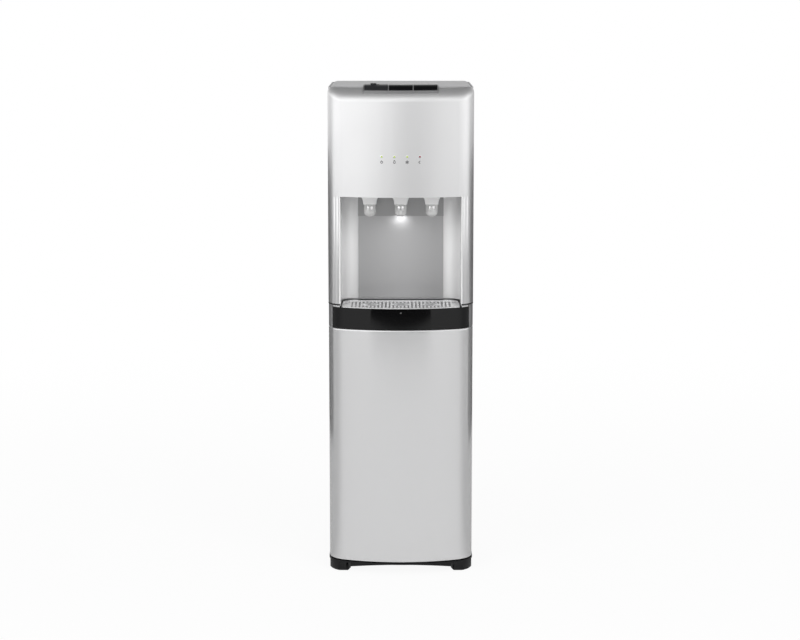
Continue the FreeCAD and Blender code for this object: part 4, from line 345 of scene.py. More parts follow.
# depth of the grain in mm, its scale per metre; fleck: how far the shade strays
plainFinish = {"metal": 0.0, "shine": 0.5, "pits": 0.0, "coat": 0.0, "coatGloss": 0.12, "bump": 0.6}
finishes = {
    "silverMoulding": dict(shade=(0.70, 0.70, 0.705), metal=0.75, gloss=(0.28, 0.34), grain=2600,
                           depth=0.0006, fleck=0.015, coat=0.25),
    "silverDoor": dict(shade=(0.72, 0.72, 0.725), metal=0.60, gloss=(0.13, 0.17), grain=2600, depth=0.0006,
                       fleck=0.012, coat=0.2),
    # alcoveSilver: the front's silver made near white, painted light for the bright coves of the alcove and
    # the tap shrouds
    "alcoveSilver": dict(shade=(0.99, 0.99, 0.99), metal=0.22, gloss=(0.29, 0.35), grain=2600,
                         depth=0.0006, fleck=0.012, coat=0.25),
    # riserSilver: the front's silver at half its shade, painted shade under the alcove's roof
    "riserSilver": dict(shade=(0.36, 0.36, 0.363), metal=0.40, gloss=(0.29, 0.35), grain=2600,
                        depth=0.0006, fleck=0.012, coat=0.2),
    # pearlWhite: bright white for the lobes in the spouts, a painted glint
    "pearlWhite": dict(shade=(0.93, 0.93, 0.93), metal=0.55, gloss=(0.16, 0.22), grain=1800, depth=0.002,
                       fleck=0.01, coat=0.3),
    # housingGrey: the silver button housing painted dark grey, a painted reflection of the dark surroundings
    # along the top's rounded brow
    "housingGrey": dict(shade=(0.20, 0.20, 0.203), metal=0.30, gloss=(0.30, 0.36), grain=2400, depth=0.003,
                        pits=0.2, fleck=0.04, coat=0.1),
    "doorLining": dict(shade=(0.62, 0.63, 0.64), gloss=(0.42, 0.52), grain=700, depth=0.02, pits=0.5,
                       fleck=0.03),
    "coverSilver": dict(shade=(0.50, 0.50, 0.505), metal=0.25, gloss=(0.42, 0.50), grain=1100, depth=0.03,
                        pits=0.6, fleck=0.04),
    "panelGrey": dict(shade=(0.50, 0.50, 0.505), metal=0.32, gloss=(0.30, 0.36), grain=2400, depth=0.0006,
                      fleck=0.015, coat=0.15),
    "sideSteel": dict(shade=(0.50, 0.505, 0.51), metal=0.35, gloss=(0.38, 0.46), grain=420, depth=0.02,
                      pits=0.1, fleck=0.03),
    "rearSteel": dict(shade=(0.055, 0.055, 0.058), gloss=(0.40, 0.50), grain=520, depth=0.03, pits=0.2,
                      fleck=0.05),
    "glossBlack": dict(shade=(0.003, 0.003, 0.0033), shine=0.36, gloss=(0.04, 0.08), grain=1800,
                       depth=0.0005, fleck=0.0),
    "buttonBlack": dict(shade=(0.004, 0.004, 0.0045), shine=0.12, gloss=(0.16, 0.22), grain=1600,
                        depth=0.004, pits=0.3, fleck=0.02),
    "buttonGrey": dict(shade=(0.022, 0.022, 0.024), shine=0.2, gloss=(0.28, 0.33), grain=1600, depth=0.006,
                       pits=0.4, fleck=0.04),
    "baseBlack": dict(shade=(0.006, 0.006, 0.0065), shine=0.22, gloss=(0.34, 0.44), grain=900, depth=0.03,
                      pits=0.6, fleck=0.05),
    "fittingBlack": dict(shade=(0.02, 0.02, 0.021), gloss=(0.38, 0.50), grain=900, depth=0.03, pits=0.6,
                         fleck=0.05),
    "rockerBlack": dict(shade=(0.014, 0.014, 0.014), gloss=(0.16, 0.22), grain=1500, depth=0.004, pits=0.3,
                        fleck=0.03),
    "rockerRed": dict(shade=(0.40, 0.014, 0.012), gloss=(0.16, 0.22), grain=1500, depth=0.004, pits=0.3,
                      fleck=0.05),
    "grilleSilver": dict(shade=(0.86, 0.86, 0.865), metal=0.80, gloss=(0.14, 0.20), grain=2600,
                         depth=0.003, fleck=0.03, coat=0.2),
    "studGrey": dict(shade=(0.10, 0.10, 0.10), metal=0.2, gloss=(0.28, 0.34), grain=1500, depth=0.003,
                     pits=0.2, fleck=0.04),
    "rubberBlack": dict(shade=(0.018, 0.018, 0.018), gloss=(0.60, 0.75), grain=1300, depth=0.03, pits=0.5,
                        fleck=0.08),
    "silicone": dict(shade=(0.72, 0.72, 0.70), gloss=(0.35, 0.45), grain=300, depth=0.01, fleck=0.03),
    "whitePlastic": dict(shade=(0.76, 0.76, 0.75), gloss=(0.35, 0.45), grain=900, depth=0.015, pits=0.4,
                         fleck=0.02),
    "valveWhite": dict(shade=(0.97, 0.97, 0.965), gloss=(0.10, 0.16), grain=900, depth=0.004, pits=0.2,
                       fleck=0.01, coat=0.6),
    "printGrey": dict(shade=(0.045, 0.045, 0.048), gloss=(0.40, 0.50), grain=2200, depth=0.004, pits=0.3,
                      fleck=0.06),
    "zincSteel": dict(shade=(0.55, 0.56, 0.58), metal=0.95, gloss=(0.32, 0.46), grain=300, depth=0.01,
                      pits=0.7, fleck=0.12),
    "springSteel": dict(shade=(0.60, 0.60, 0.61), metal=1.0, gloss=(0.28, 0.34), grain=1500, depth=0.004,
                        fleck=0.08),
    "magnet": dict(shade=(0.06, 0.06, 0.06), metal=0.5, gloss=(0.50, 0.65), grain=1400, depth=0.03,
                   pits=0.7, fleck=0.15),
    "stainless": dict(shade=(0.60, 0.60, 0.60), metal=1.0, gloss=(0.28, 0.36), lines=(1900, 12),
                      depth=0.004, fleck=0.06),
    "heater": dict(shade=(0.66, 0.66, 0.67), metal=1.0, gloss=(0.30, 0.42), lines=(1500, 15), depth=0.005,
                   fleck=0.08),
    "foamWhite": dict(shade=(0.84, 0.84, 0.82), gloss=(0.75, 0.85), grain=380, depth=0.25, pits=1.0,
                      fleck=0.06),
    "compressorBlack": dict(shade=(0.012, 0.012, 0.012), gloss=(0.16, 0.24), grain=420, depth=0.02,
                            pits=0.1, fleck=0.04, coat=0.2),
    "pumpGrey": dict(shade=(0.16, 0.16, 0.165), gloss=(0.40, 0.50), grain=900, depth=0.02, pits=0.5,
                     fleck=0.04),
    "boardGreen": dict(shade=(0.02, 0.11, 0.045), gloss=(0.28, 0.34), grain=1200, depth=0.01, pits=0.2,
                       fleck=0.2),
}


def makeFinish(name):
    look = {**plainFinish, **finishes[name]}
    material = bpy.data.materials.new(name)
    tree = newTree(material)
    out = addNode(tree, "ShaderNodeOutputMaterial")
    body = addNode(tree, "ShaderNodeBsdfPrincipled")
    tree.links.new(body.outputs[0], out.inputs[0])
    if "lines" in look:
        grain = addNode(tree, "ShaderNodeGroup", node_tree=brushedGroup)
        grain.inputs["Across"].default_value, grain.inputs["Along"].default_value = look["lines"]
        fleck = grain.outputs["Streak"]
    else:
        grain = addNode(tree, "ShaderNodeGroup", node_tree=grainGroup)
        grain.inputs["Scale"].default_value = look["grain"]
        grain.inputs["Pits"].default_value = look["pits"]
        fleck = grain.outputs["Fleck"]
    tone = addNode(tree, "ShaderNodeMix", data_type="RGBA")
    tone.inputs[6].default_value = tuple(part * (1 - look["fleck"]) for part in look["shade"]) + (1,)
    tone.inputs[7].default_value = tuple(min(1, part * (1 + look["fleck"])) for part in look["shade"]) + (1,)
    tree.links.new(fleck, tone.inputs[0])
    tree.links.new(tone.outputs[2], body.inputs["Base Color"])
    handled = addNode(tree, "ShaderNodeGroup", node_tree=smudgeGroup)
    handled.inputs["Low"].default_value, handled.inputs["High"].default_value = look["gloss"]
    tree.links.new(handled.outputs["Roughness"], body.inputs["Roughness"])
    bump = addNode(tree, "ShaderNodeBump")
    bump.inputs["Strength"].default_value = look["bump"]
    bump.inputs["Distance"].default_value = look["depth"] / 1000
    tree.links.new(grain.outputs["Height"], bump.inputs["Height"])
    tree.links.new(bump.outputs[0], body.inputs["Normal"])
    body.inputs["Metallic"].default_value = look["metal"]
    body.inputs["Specular IOR Level"].default_value = look["shine"]
    body.inputs["Coat Weight"].default_value = look["coat"]
    body.inputs["Coat Roughness"].default_value = look["coatGloss"]
    return material


materials = {name: makeFinish(name) for name in finishes}

# shade, gloss, bend of light and share of light let through
clearLook = {"spoutClear": ((0.97, 0.97, 0.965), 0.12, 1.45, 0.40),
             "lensWhite": ((0.95, 0.95, 0.95), 0.42, 1.49, 1.0)}
clearStray = {"low": 0.7, "high": 1.4, "dim": 0.95}  # how far gloss and shade stray over a clear piece


def makeClear(name, shade, gloss, bend, through):
    material = bpy.data.materials.new(name)
    tree = newTree(material)
    out = addNode(tree, "ShaderNodeOutputMaterial")
    body = addNode(tree, "ShaderNodeBsdfPrincipled")
    tree.links.new(body.outputs[0], out.inputs[0])
    body.inputs["Transmission Weight"].default_value = through
    body.inputs["IOR"].default_value = bend
    handled = addNode(tree, "ShaderNodeGroup", node_tree=smudgeGroup)
    handled.inputs["Low"].default_value = gloss * clearStray["low"]
    handled.inputs["High"].default_value = gloss * clearStray["high"]
    tree.links.new(handled.outputs["Roughness"], body.inputs["Roughness"])
    tone = addNode(tree, "ShaderNodeMix", data_type="RGBA")
    tone.inputs[6].default_value = tuple(part * clearStray["dim"] for part in shade) + (1,)
    tone.inputs[7].default_value = tuple(shade) + (1,)
    tree.links.new(handled.outputs["Mask"], tone.inputs[0])
    tree.links.new(tone.outputs[2], body.inputs["Base Color"])
    return material


for name, look in clearLook.items():
    materials[name] = makeClear(name, *look)

glowLook = {"lensGreen": ((0.37, 0.48, 0.10), 0.45), "lensRed": ((0.17, 0.016, 0.018), 0.5),
            "lensNight": ((0.93, 0.95, 1.0), 1.6)}
lensBody = {"grain": 700, "dim": 0.9, "gloss": 0.25}


def makeGlow(name, shade, strength):
    material = bpy.data.materials.new(name)
    tree = newTree(material)
    out = addNode(tree, "ShaderNodeOutputMaterial")
    body = addNode(tree, "ShaderNodeBsdfPrincipled")
    tree.links.new(body.outputs[0], out.inputs[0])
    grain = addNode(tree, "ShaderNodeGroup", node_tree=grainGroup)
    grain.inputs["Scale"].default_value = lensBody["grain"]
    tone = addNode(tree, "ShaderNodeMix", data_type="RGBA")
    tone.inputs[6].default_value = tuple(part * lensBody["dim"] for part in shade) + (1,)
    tone.inputs[7].default_value = tuple(shade) + (1,)
    tree.links.new(grain.outputs["Fleck"], tone.inputs[0])
    tree.links.new(tone.outputs[2], body.inputs["Base Color"])
    tree.links.new(tone.outputs[2], body.inputs["Emission Color"])
    body.inputs["Emission Strength"].default_value = strength
    body.inputs["Roughness"].default_value = lensBody["gloss"]
    return material


for name, (shade, strength) in glowLook.items():
    materials[name] = makeGlow(name, shade, strength)

# nodes whose finish differs from the rest of their slot: the riser's is painted shade, the alcove liner's
# painted light, the button housing's a painted reflection
nodeFinish = {"alcove_liner": "alcoveSilver", "nozzle_panel": "riserSilver", "button_housing": "housingGrey"}


def slotFinish(slotName):
    first, *rest = slotName.split("_")
    return first + "".join(word.capitalize() for word in rest)


for subpart in frame["record"]["subparts"]:
    node = nodes[subpart["node"]]
    node.data.materials.clear()
    node.data.materials.append(materials[nodeFinish.get(node.name, slotFinish(subpart["material_slot"]))])
print("finishes ready:", len(materials))

# ----- making pieces -----


def keepPiece(shape, name, finish, body, replaced=(), crease=32):
    bmesh.ops.remove_doubles(shape, verts=shape.verts, dist=1e-6)
    bmesh.ops.recalc_face_normals(shape, faces=shape.faces)
    for face in shape.faces:
        face.smooth = True
    for edge in shape.edges:
        edge.smooth = len(edge.link_faces) == 2 and edge.calc_face_angle(0) < math.radians(crease)
    mesh = bpy.data.meshes.new(name)
    shape.to_mesh(mesh)
    shape.free()
    piece = bpy.data.objects.new(name, mesh)
    bpy.context.scene.collection.objects.link(piece)
    mesh.materials.append(materials[finish])
    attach(piece, body)
    if replaced:
        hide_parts(*replaced)
    return piece


def bevelled(shape, edges, width, segments=3):
    bmesh.ops.bevel(shape, geom=list(edges), offset=width, offset_type="OFFSET", segments=segments,
                    profile=0.5, affect="EDGES", clamp_overlap=True, material=-1)


def whole(shape):
    return shape.verts[:] + shape.edges[:] + shape.faces[:]


def vertsOf(items):
    return [item for item in items if isinstance(item, bmesh.types.BMVert)]


def cutAcross(shape, place, way, **settings):
    bmesh.ops.bisect_plane(shape, geom=whole(shape), dist=1e-6, plane_co=place, plane_no=way, **settings)


def turned(shape, profile, middle, steps=48, ring=False):
    verts = [shape.verts.new((radius, 0, height)) for radius, height in profile]
    edges = [shape.edges.new(pair) for pair in zip(verts, verts[1:])]
    if ring:
        edges.append(shape.edges.new((verts[-1], verts[0])))
    bmesh.ops.spin(shape, geom=verts + edges, cent=(0, 0, 0), axis=(0, 0, 1), angle=math.tau, steps=steps,
                   use_merge=True)
    reached = set(verts) | {vert for edge in edges for face in edge.link_faces for vert in face.verts}
    frontier = list(reached)
    while frontier:
        vert = frontier.pop()
        for edge in vert.link_edges:
            other = edge.other_vert(vert)
            if other not in reached:
                reached.add(other)
                frontier.append(other)
    bmesh.ops.remove_doubles(shape, verts=list(reached), dist=1e-6)
    reached = [vert for vert in reached if vert.is_valid]
    bmesh.ops.translate(shape, verts=reached, vec=middle)
    return reached


def quarter(middle, radius, start, end, steps):
    return [(middle[0] + radius * math.cos(math.radians(start + (end - start) * step / steps)),
             middle[1] + radius * math.sin(math.radians(start + (end - start) * step / steps)))
            for step in range(steps + 1)]


# front's distance from the middle, half the width, radii of the bow and the corners, end of the bowed pieces
plan = {"reach": 0.180, "half": 0.155, "bow": 0.330, "corner": 0.052, "seam": 0.101, "steps": (22, 18)}


def bowAt(x, inset=0.0):
    return -plan["reach"] + plan["bow"] - math.sqrt((plan["bow"] - inset) ** 2 - x * x)


def bowWire(shape, inset, height):
    bowCentre = (0, plan["bow"] - plan["reach"], height)
    cornerX = plan["half"] - plan["corner"]
    cornerY = bowCentre[1] - math.sqrt((plan["bow"] - plan["corner"]) ** 2 - cornerX ** 2)
    turn = math.asin(cornerX / (plan["bow"] - plan["corner"]))
    bowSteps, cornerSteps = plan["steps"]
    first = shape.verts.new((0, inset - plan["reach"], height))
    bmesh.ops.spin(shape, geom=[first], cent=bowCentre, axis=(0, 0, 1), angle=turn, steps=bowSteps)
    last = max(shape.verts, key=lambda vert: vert.co.x)
    bmesh.ops.spin(shape, geom=[last], cent=(cornerX, cornerY, height), axis=(0, 0, 1),
                   angle=math.pi / 2 - turn, steps=cornerSteps)
    last = max(shape.verts, key=lambda vert: vert.co.y)
    made = bmesh.ops.extrude_vert_indiv(shape, verts=[last])
    made["verts"][0].co.y = -plan["seam"]
    return shape.edges[:]


def bowWall(inset, low, high, thick):
    shape = bmesh.new()
    line = bowWire(shape, inset, low)
    raised = bmesh.ops.extrude_edge_only(shape, edges=line)["geom"]
    bmesh.ops.translate(shape, verts=vertsOf(raised), vec=(0, 0, high - low))
    bmesh.ops.mirror(shape, geom=whole(shape), axis="X", merge_dist=1e-6)
    bmesh.ops.recalc_face_normals(shape, faces=shape.faces)
    front = min(shape.faces, key=lambda face: face.calc_center_median().y)
    if front.normal.y > 0:
        bmesh.ops.reverse_faces(shape, faces=shape.faces)
    bmesh.ops.solidify(shape, geom=shape.faces[:], thickness=thick)
    return shape


# ----- taps -----

taps = {"pitch": 0.0656, "y": -0.105, "top": 0.7893, "bottom": 0.7630, "alcoveTop": 0.8088}
shroud = {"topHalf": 0.0205, "lowHalf": 0.0138, "front": -0.1222, "back": -0.0425, "lowFront": -0.1192,
          "pinch": 0.0016, "rows": 8, "round": 0.0028}


def makeShrouds():
    shape = bmesh.new()
    for vert in bmesh.ops.create_cube(shape, size=1)["verts"]:
        upper = vert.co.z > 0
        vert.co.x = math.copysign(shroud["topHalf"] if upper else shroud["lowHalf"], vert.co.x)
        vert.co.y = (shroud["front"] if upper else shroud["lowFront"]) if vert.co.y < 0 else shroud["back"]
        vert.co.z = taps["alcoveTop"] if upper else taps["top"]
    upright = [edge for edge in shape.edges if abs(edge.verts[0].co.z - edge.verts[1].co.z) > 1e-4]
    bmesh.ops.subdivide_edges(shape, edges=upright, cuts=shroud["rows"], use_grid_fill=True)
    for vert in shape.verts:
        share = (vert.co.z - taps["top"]) / (taps["alcoveTop"] - taps["top"])
        vert.co.x -= math.copysign(shroud["pinch"] * math.sin(math.pi * share), vert.co.x)
    corners = [edge for edge in shape.edges if all(vert.co.y < taps["y"] for vert in edge.verts)
               and abs(edge.verts[0].co.z - edge.verts[1].co.z) > 1e-4]
    bevelled(shape, corners, shroud["round"], 5)
    first = whole(shape)
    for side in (-1, 1):
        made = bmesh.ops.duplicate(shape, geom=first)["geom"]
        bmesh.ops.translate(shape, verts=vertsOf(made), vec=(side * taps["pitch"], 0, 0))
    # the shrouds take the alcove's near-white silver, painted light
    keepPiece(shape, "tapShrouds", "alcoveSilver", "cabinet", ["tap_shrouds"], 50)


spout = {"outer": 0.0130, "rim": 0.0134, "wall": 0.0016, "mouth": 0.0058, "throat": 0.0062,
         "tipRound": 0.0095, "bend": -72, "rimDrop": 0.0016, "neckDrop": 0.0022, "bodyDrop": 0.0040,
         "roof": 0.0030, "hair": 0.0001}
valve = [  # radius, and height from the top of the spout
    (0.0030, 0.0200), (0.0068, 0.0200), (0.0068, -0.0032), (0.0072, -0.0036), (0.0072, -0.0050),
    (0.0060, -0.0054), (0.0056, -0.0120), (0.0046, -0.0150), (0.0040, -0.0152), (0.0034, -0.0146),
    (0.0030, -0.0040)]
# two pearly lobes in each spout, drawn as the valve's ears; their bright white is a painted glint where the
# clear spout shows reflected light
glintLobe = {"half": (0.0031, 0.0016, 0.0050), "side": 0.0042, "front": 0.0121, "drop": 0.0068}


def makeSpout(name, side):
    middle = (side * taps["pitch"], taps["y"], 0)
    top, low = taps["top"], taps["bottom"]
    outer, wall, tip, hair = spout["outer"], spout["wall"], spout["tipRound"], spout["hair"]
    tipMiddle = (outer - tip, low + tip)
    outside = [(spout["throat"], top - hair), (spout["rim"], top - hair),
               (spout["rim"], top - spout["rimDrop"]), (outer + hair, top - spout["neckDrop"]),
               (outer, top - spout["bodyDrop"])]
    outside += quarter(tipMiddle, tip, 0, spout["bend"], 10) + [(spout["mouth"], low)]
    inside = [(spout["mouth"], low + wall)] + quarter(tipMiddle, tip - wall, spout["bend"], 0, 10)
    inside += [(outer - wall, top - spout["roof"]), (spout["throat"], top - spout["roof"])]
    shape = bmesh.new()
    turned(shape, outside + inside, middle, 56, ring=True)
    replaced = [name.lower() + "_tap_spout"]
    keepPiece(shape, name + "Spout", "spoutClear", "cabinet", replaced, 40)
    shape = bmesh.new()
    turned(shape, [(radius, top + rise) for radius, rise in valve], middle, 40, ring=True)
    keepPiece(shape, name + "Valve", "valveWhite", "cabinet")
    shape = bmesh.new()
    for half in (-1, 1):
        lobe = bmesh.ops.create_uvsphere(shape, u_segments=24, v_segments=18, radius=1)["verts"]
        bmesh.ops.scale(shape, verts=lobe, vec=glintLobe["half"])
        bmesh.ops.rotate(shape, verts=lobe, cent=(0, 0, 0),
                         matrix=Matrix.Rotation(half * math.asin(glintLobe["side"] / outer), 3, "Z"))
        place = (middle[0] + half * glintLobe["side"], middle[1] - glintLobe["front"], top - glintLobe["drop"])
        bmesh.ops.translate(shape, verts=lobe, vec=place)
    keepPiece(shape, name + "Grip", "pearlWhite", "cabinet")


def makeTaps():
    makeShrouds()
    for name, side in (("Hot", -1), ("Room", 0), ("Cold", 1)):
        makeSpout(name, side)


# ----- indicator lamps and signs -----

lampRow = {"xs": (-0.0399, -0.0133, 0.0133, 0.0399), "z": 0.8944, "radius": 0.0022, "red": 3}
lampDome = [  # share of the radius, and height off the panel
    (0, 0.0005), (0.5, 0.00042), (0.85, 0.00018), (1, -0.0001), (1, -0.0060), (0, -0.0060)]
lampBezel = [(0.00225, 0.0), (0.0024, 0.00022), (0.0030, 0.00016), (0.0031, -0.0004), (0.00225, -0.0004)]
fasciaInset = 0.0007  # front panel inside the plan's bow


def towardsFront(shape, verts, x, z):
    lean = math.asin(x / plan["bow"])
    bmesh.ops.rotate(shape, verts=verts, cent=(0, 0, 0), matrix=Matrix.Rotation(math.pi / 2, 3, "X"))
    bmesh.ops.rotate(shape, verts=verts, cent=(0, 0, 0), matrix=Matrix.Rotation(lean, 3, "Z"))
    bmesh.ops.translate(shape, verts=verts, vec=(x, bowAt(x, fasciaInset), z))


def makeLamps():
    green, red, rings = bmesh.new(), bmesh.new(), bmesh.new()
    dome = [(lampRow["radius"] * share, rise) for share, rise in lampDome]
    for order, x in enumerate(lampRow["xs"]):
        shape = red if order == lampRow["red"] else green
        towardsFront(shape, turned(shape, dome, (0, 0, 0), 28), x, lampRow["z"])
        towardsFront(rings, turned(rings, lampBezel, (0, 0, 0), 32, ring=True), x, lampRow["z"])
    keepPiece(green, "greenLamps", "lensGreen", "cabinet", ["green_lamp_lenses"])
    keepPiece(red, "redLamp", "lensRed", "cabinet", ["red_lamp_lens"])
    keepPiece(rings, "lampBezels", "grilleSilver", "cabinet")


# shares of the size, unless they say otherwise; lines as shares of the line
signs = {"z": 0.8832, "proud": 0.00015, "sunk": 0.0002, "line": 0.0011, "size": 0.0033}
ringMark = {"size": 0.85, "gap": 0.62, "bar": (0.35, 1.05)}
moonMark = {"size": 0.86, "line": 1.1, "gap": 0.30}
flameMark = {"size": 0.80, "lean": 0.35, "turn": 0.6, "narrow": 0.55, "tall": 0.8, "drop": 0.0003}
snowMark = {"turns": (90, 150, 210), "line": 0.8, "fork": 38, "root": 0.62, "tip": 0.34, "forkLine": 0.7}


def flatBar(shape, x0, z0, x1, z1, line):
    start, end = Vector((x0, 0, z0)), Vector((x1, 0, z1))
    made = bmesh.ops.create_grid(shape, x_segments=3, y_segments=1, size=0.5)["verts"]
    bmesh.ops.scale(shape, verts=made, vec=((end - start).length + line, line, 1))
    bmesh.ops.rotate(shape, verts=made, cent=(0, 0, 0), matrix=Matrix.Rotation(math.pi / 2, 3, "X"))
    slope = math.atan2(z1 - z0, x1 - x0)
    bmesh.ops.rotate(shape, verts=made, cent=(0, 0, 0), matrix=Matrix.Rotation(-slope, 3, "Y"))
    bmesh.ops.translate(shape, verts=made, vec=(start + end) / 2)


def roundBend(angle, radius):
    return radius * math.cos(angle), radius * math.sin(angle)


def flameBend(angle, radius):
    rise = max(0.0, math.sin(angle))
    lean = flameMark["lean"] * radius * rise * math.sin(angle * 2 + flameMark["turn"])
    across = radius * math.cos(angle) * (1 - flameMark["narrow"] * rise) + lean
    return across, radius * math.sin(angle) * (1 + flameMark["tall"] * rise ** 2) - flameMark["drop"]


def outlineSign(shape, bend, size, line, steps=30):
    outer = bmesh.ops.create_circle(shape, cap_ends=False, segments=steps, radius=size)["verts"]
    inner = bmesh.ops.create_circle(shape, cap_ends=False, segments=steps, radius=size - line)["verts"]
    bmesh.ops.bridge_loops(shape, edges=[edge for edge in shape.edges if not edge.link_faces])
    for vert in outer + inner:
        across, up = bend(math.atan2(vert.co.y, vert.co.x), vert.co.length)
        vert.co = (across, 0, up)


def ringSign(shape):
    size = signs["size"]
    outlineSign(shape, roundBend, size * ringMark["size"], signs["line"])
    gone = [face for face in shape.faces if face.calc_center_median().z > size * ringMark["gap"]]
    bmesh.ops.delete(shape, geom=gone, context="FACES")
    flatBar(shape, 0, size * ringMark["bar"][0], 0, size * ringMark["bar"][1], signs["line"])


def moonSign(shape):
    outlineSign(shape, roundBend, signs["size"] * moonMark["size"], signs["line"] * moonMark["line"])
    gone = [face for face in shape.faces if face.calc_center_median().x > signs["size"] * moonMark["gap"]]
    bmesh.ops.delete(shape, geom=gone, context="FACES")


def flameSign(shape):
    outlineSign(shape, flameBend, signs["size"] * flameMark["size"], signs["line"])


def snowSign(shape):
    reach = signs["size"]
    for turn in snowMark["turns"]:
        across, up = math.cos(math.radians(turn)), math.sin(math.radians(turn))
        line = signs["line"] * snowMark["line"]
        flatBar(shape, -reach * across, -reach * up, reach * across, reach * up, line)
        for end in (-1, 1):
            root, tip = snowMark["root"] * reach * end, snowMark["tip"] * reach * end
            for fork in (-1, 1):
                slope = math.radians(turn) + fork * math.radians(snowMark["fork"])
                flatBar(shape, root * across, root * up, root * across + tip * math.cos(slope),
                        root * up + tip * math.sin(slope), signs["line"] * snowMark["forkLine"])


def makeSigns():
    for name, x, draw in zip(("ring", "flame", "snow", "moon"), lampRow["xs"],
                             (ringSign, flameSign, snowSign, moonSign)):
        shape = bmesh.new()
        draw(shape)
        front = set(vertsOf(bmesh.ops.extrude_face_region(shape, geom=shape.faces[:])["geom"]))
        for vert in shape.verts:
            depth = signs["proud"] if vert in front else -signs["sunk"]
            vert.co.y = bowAt(vert.co.x + x, fasciaInset) - depth
            vert.co.x += x
            vert.co.z += signs["z"]
        keepPiece(shape, name + "Sign", "printGrey", "cabinet")


# ----- door, base and feet -----


def onOutside(edge, inset, slack=0.0008):
    middle = (edge.verts[0].co + edge.verts[1].co) / 2
    spot = Vector((abs(middle.x), middle.y))
    bowCentre = Vector((0, plan["bow"] - plan["reach"]))
    cornerX = plan["half"] - plan["corner"]
    if spot.x <= cornerX:
        return (spot - bowCentre).length > plan["bow"] - inset - slack
    cornerY = bowCentre.y - math.sqrt((plan["bow"] - plan["corner"]) ** 2 - cornerX ** 2)
    if spot.y < cornerY:
        return (spot - Vector((cornerX, cornerY))).length > plan["corner"] - inset - slack
    return spot.x > plan["half"] - inset - slack


door = {"inset": 0.0012, "low": 0.0253, "high": 0.5283, "thick": 0.0024, "edge": 0.0020, "loop": 0.005}


def makeDoor():
    shape = bowWall(door["inset"], door["low"], door["high"], door["thick"])
    rims = [edge for edge in shape.edges if edge.calc_face_angle(0) > math.radians(60)
            and abs(edge.verts[0].co.z - edge.verts[1].co.z) < 1e-6 and onOutside(edge, door["inset"])]
    bevelled(shape, rims, door["edge"], 5)
    for height in (door["low"] + door["loop"], door["high"] - door["loop"]):  # for even shading
        cutAcross(shape, (0, 0, height), (0, 0, 1))
    keepPiece(shape, "doorSkin", "silverDoor", "door", ["door_outer"], 50)


skirt = {"inset": 0.0006, "top": 0.0205, "drop": 0.0084, "half": 0.108, "thick": 0.0025, "hem": 0.001,
         "middle": 0.0004, "rest": 0.0002}


def makeSkirt():
    shape = bowWall(skirt["inset"], skirt["top"] - skirt["drop"] - skirt["hem"], skirt["top"], skirt["thick"])
    for side in (-1, 1):
        cutAcross(shape, (side * skirt["half"], 0, 0), (side, 0, 0), clear_outer=True)
    for vert in shape.verts:
        if vert.co.z < skirt["top"] - skirt["hem"]:
            share = abs(vert.co.x) / skirt["half"]
            vert.co.z = skirt["top"] - skirt["middle"] - (skirt["drop"] - skirt["rest"]) * share ** 2
    bmesh.ops.holes_fill(shape, edges=[edge for edge in shape.edges if edge.is_boundary], sides=4)
    keepPiece(shape, "baseSkirt", "baseBlack", "cabinet", [], 50)


feet = {"front": -0.1480, "low": 0.0190, "slope": 0.0060, "inner": 0.1080}
footPieces = [
    # new piece, node it stands for, finish, slot
    ("baseBody", "base_tray", "baseBlack", "base_black"),
    ("footRubbers", "foot_pads", "rubberBlack", "rubber_black"),
]


def makeFeet():
    slopeEnd = feet["inner"] + feet["slope"]
    for name, node, finish, slotName in footPieces:
        shape = bmesh.new()
        shape.from_mesh(nodes[node].data)
        bmesh.ops.remove_doubles(shape, verts=shape.verts, dist=1e-6)
        for side in (-1, 1):
            cutAcross(shape, (side * slopeEnd, 0, 0), (side, 0, 0))
        for vert in shape.verts:
            if vert.co.z < feet["low"] and vert.co.y < feet["front"]:
                vert.co.y = feet["front"]
            if vert.co.z < feet["slope"] and abs(vert.co.x) < slopeEnd:
                vert.co.z = max(vert.co.z, feet["slope"] - (abs(vert.co.x) - feet["inner"]))
        keepPiece(shape, name, finish, "cabinet", [node], 32)


# ----- alcove trim and tray -----

ribs = {"spans": ((0.1313, 0.1352), (0.1378, 0.1412)), "proud": 0.0007, "thick": 0.0018, "low": 0.5816,
        "high": 0.8086, "edge": 0.0005}


def keepBetween(shape, near, far):
    for side in (-1, 1):
        for edge, outer in ((far, True), (near, False)):
            cutAcross(shape, (side * edge, 0, 0), (side, 0, 0), clear_outer=outer)
    bmesh.ops.delete(shape, geom=[face for face in shape.faces if abs(face.calc_center_median().x) < near],
                     context="FACES")
    bmesh.ops.delete(shape, geom=[vert for vert in shape.verts if not vert.link_faces], context="VERTS")
    bmesh.ops.holes_fill(shape, edges=[edge for edge in shape.edges if edge.is_boundary], sides=4)


def makeRibs():
    for order, (near, far) in enumerate(ribs["spans"]):
        shape = bowWall(-ribs["proud"] + fasciaInset, ribs["low"], ribs["high"], ribs["thick"])
        keepBetween(shape, near, far)
        corners = [edge for edge in shape.edges if edge.calc_face_angle(0) > math.radians(50)
                   and onOutside(edge, fasciaInset - ribs["proud"])]
        bevelled(shape, corners, ribs["edge"], 3)
        keepPiece(shape, "alcoveRib" + "AB"[order], "silverMoulding", "cabinet", [], 50)


def sweepStart(shape, spot, radius, steps=14):
    ring = bmesh.ops.create_circle(shape, cap_ends=False, segments=steps, radius=radius)["verts"]
    bmesh.ops.rotate(shape, verts=ring, cent=(0, 0, 0), matrix=Matrix.Rotation(math.pi / 2, 3, "Y"))
    bmesh.ops.translate(shape, verts=ring, vec=spot)
    return [edge for edge in shape.edges if edge.verts[0] in ring and edge.verts[1] in ring]


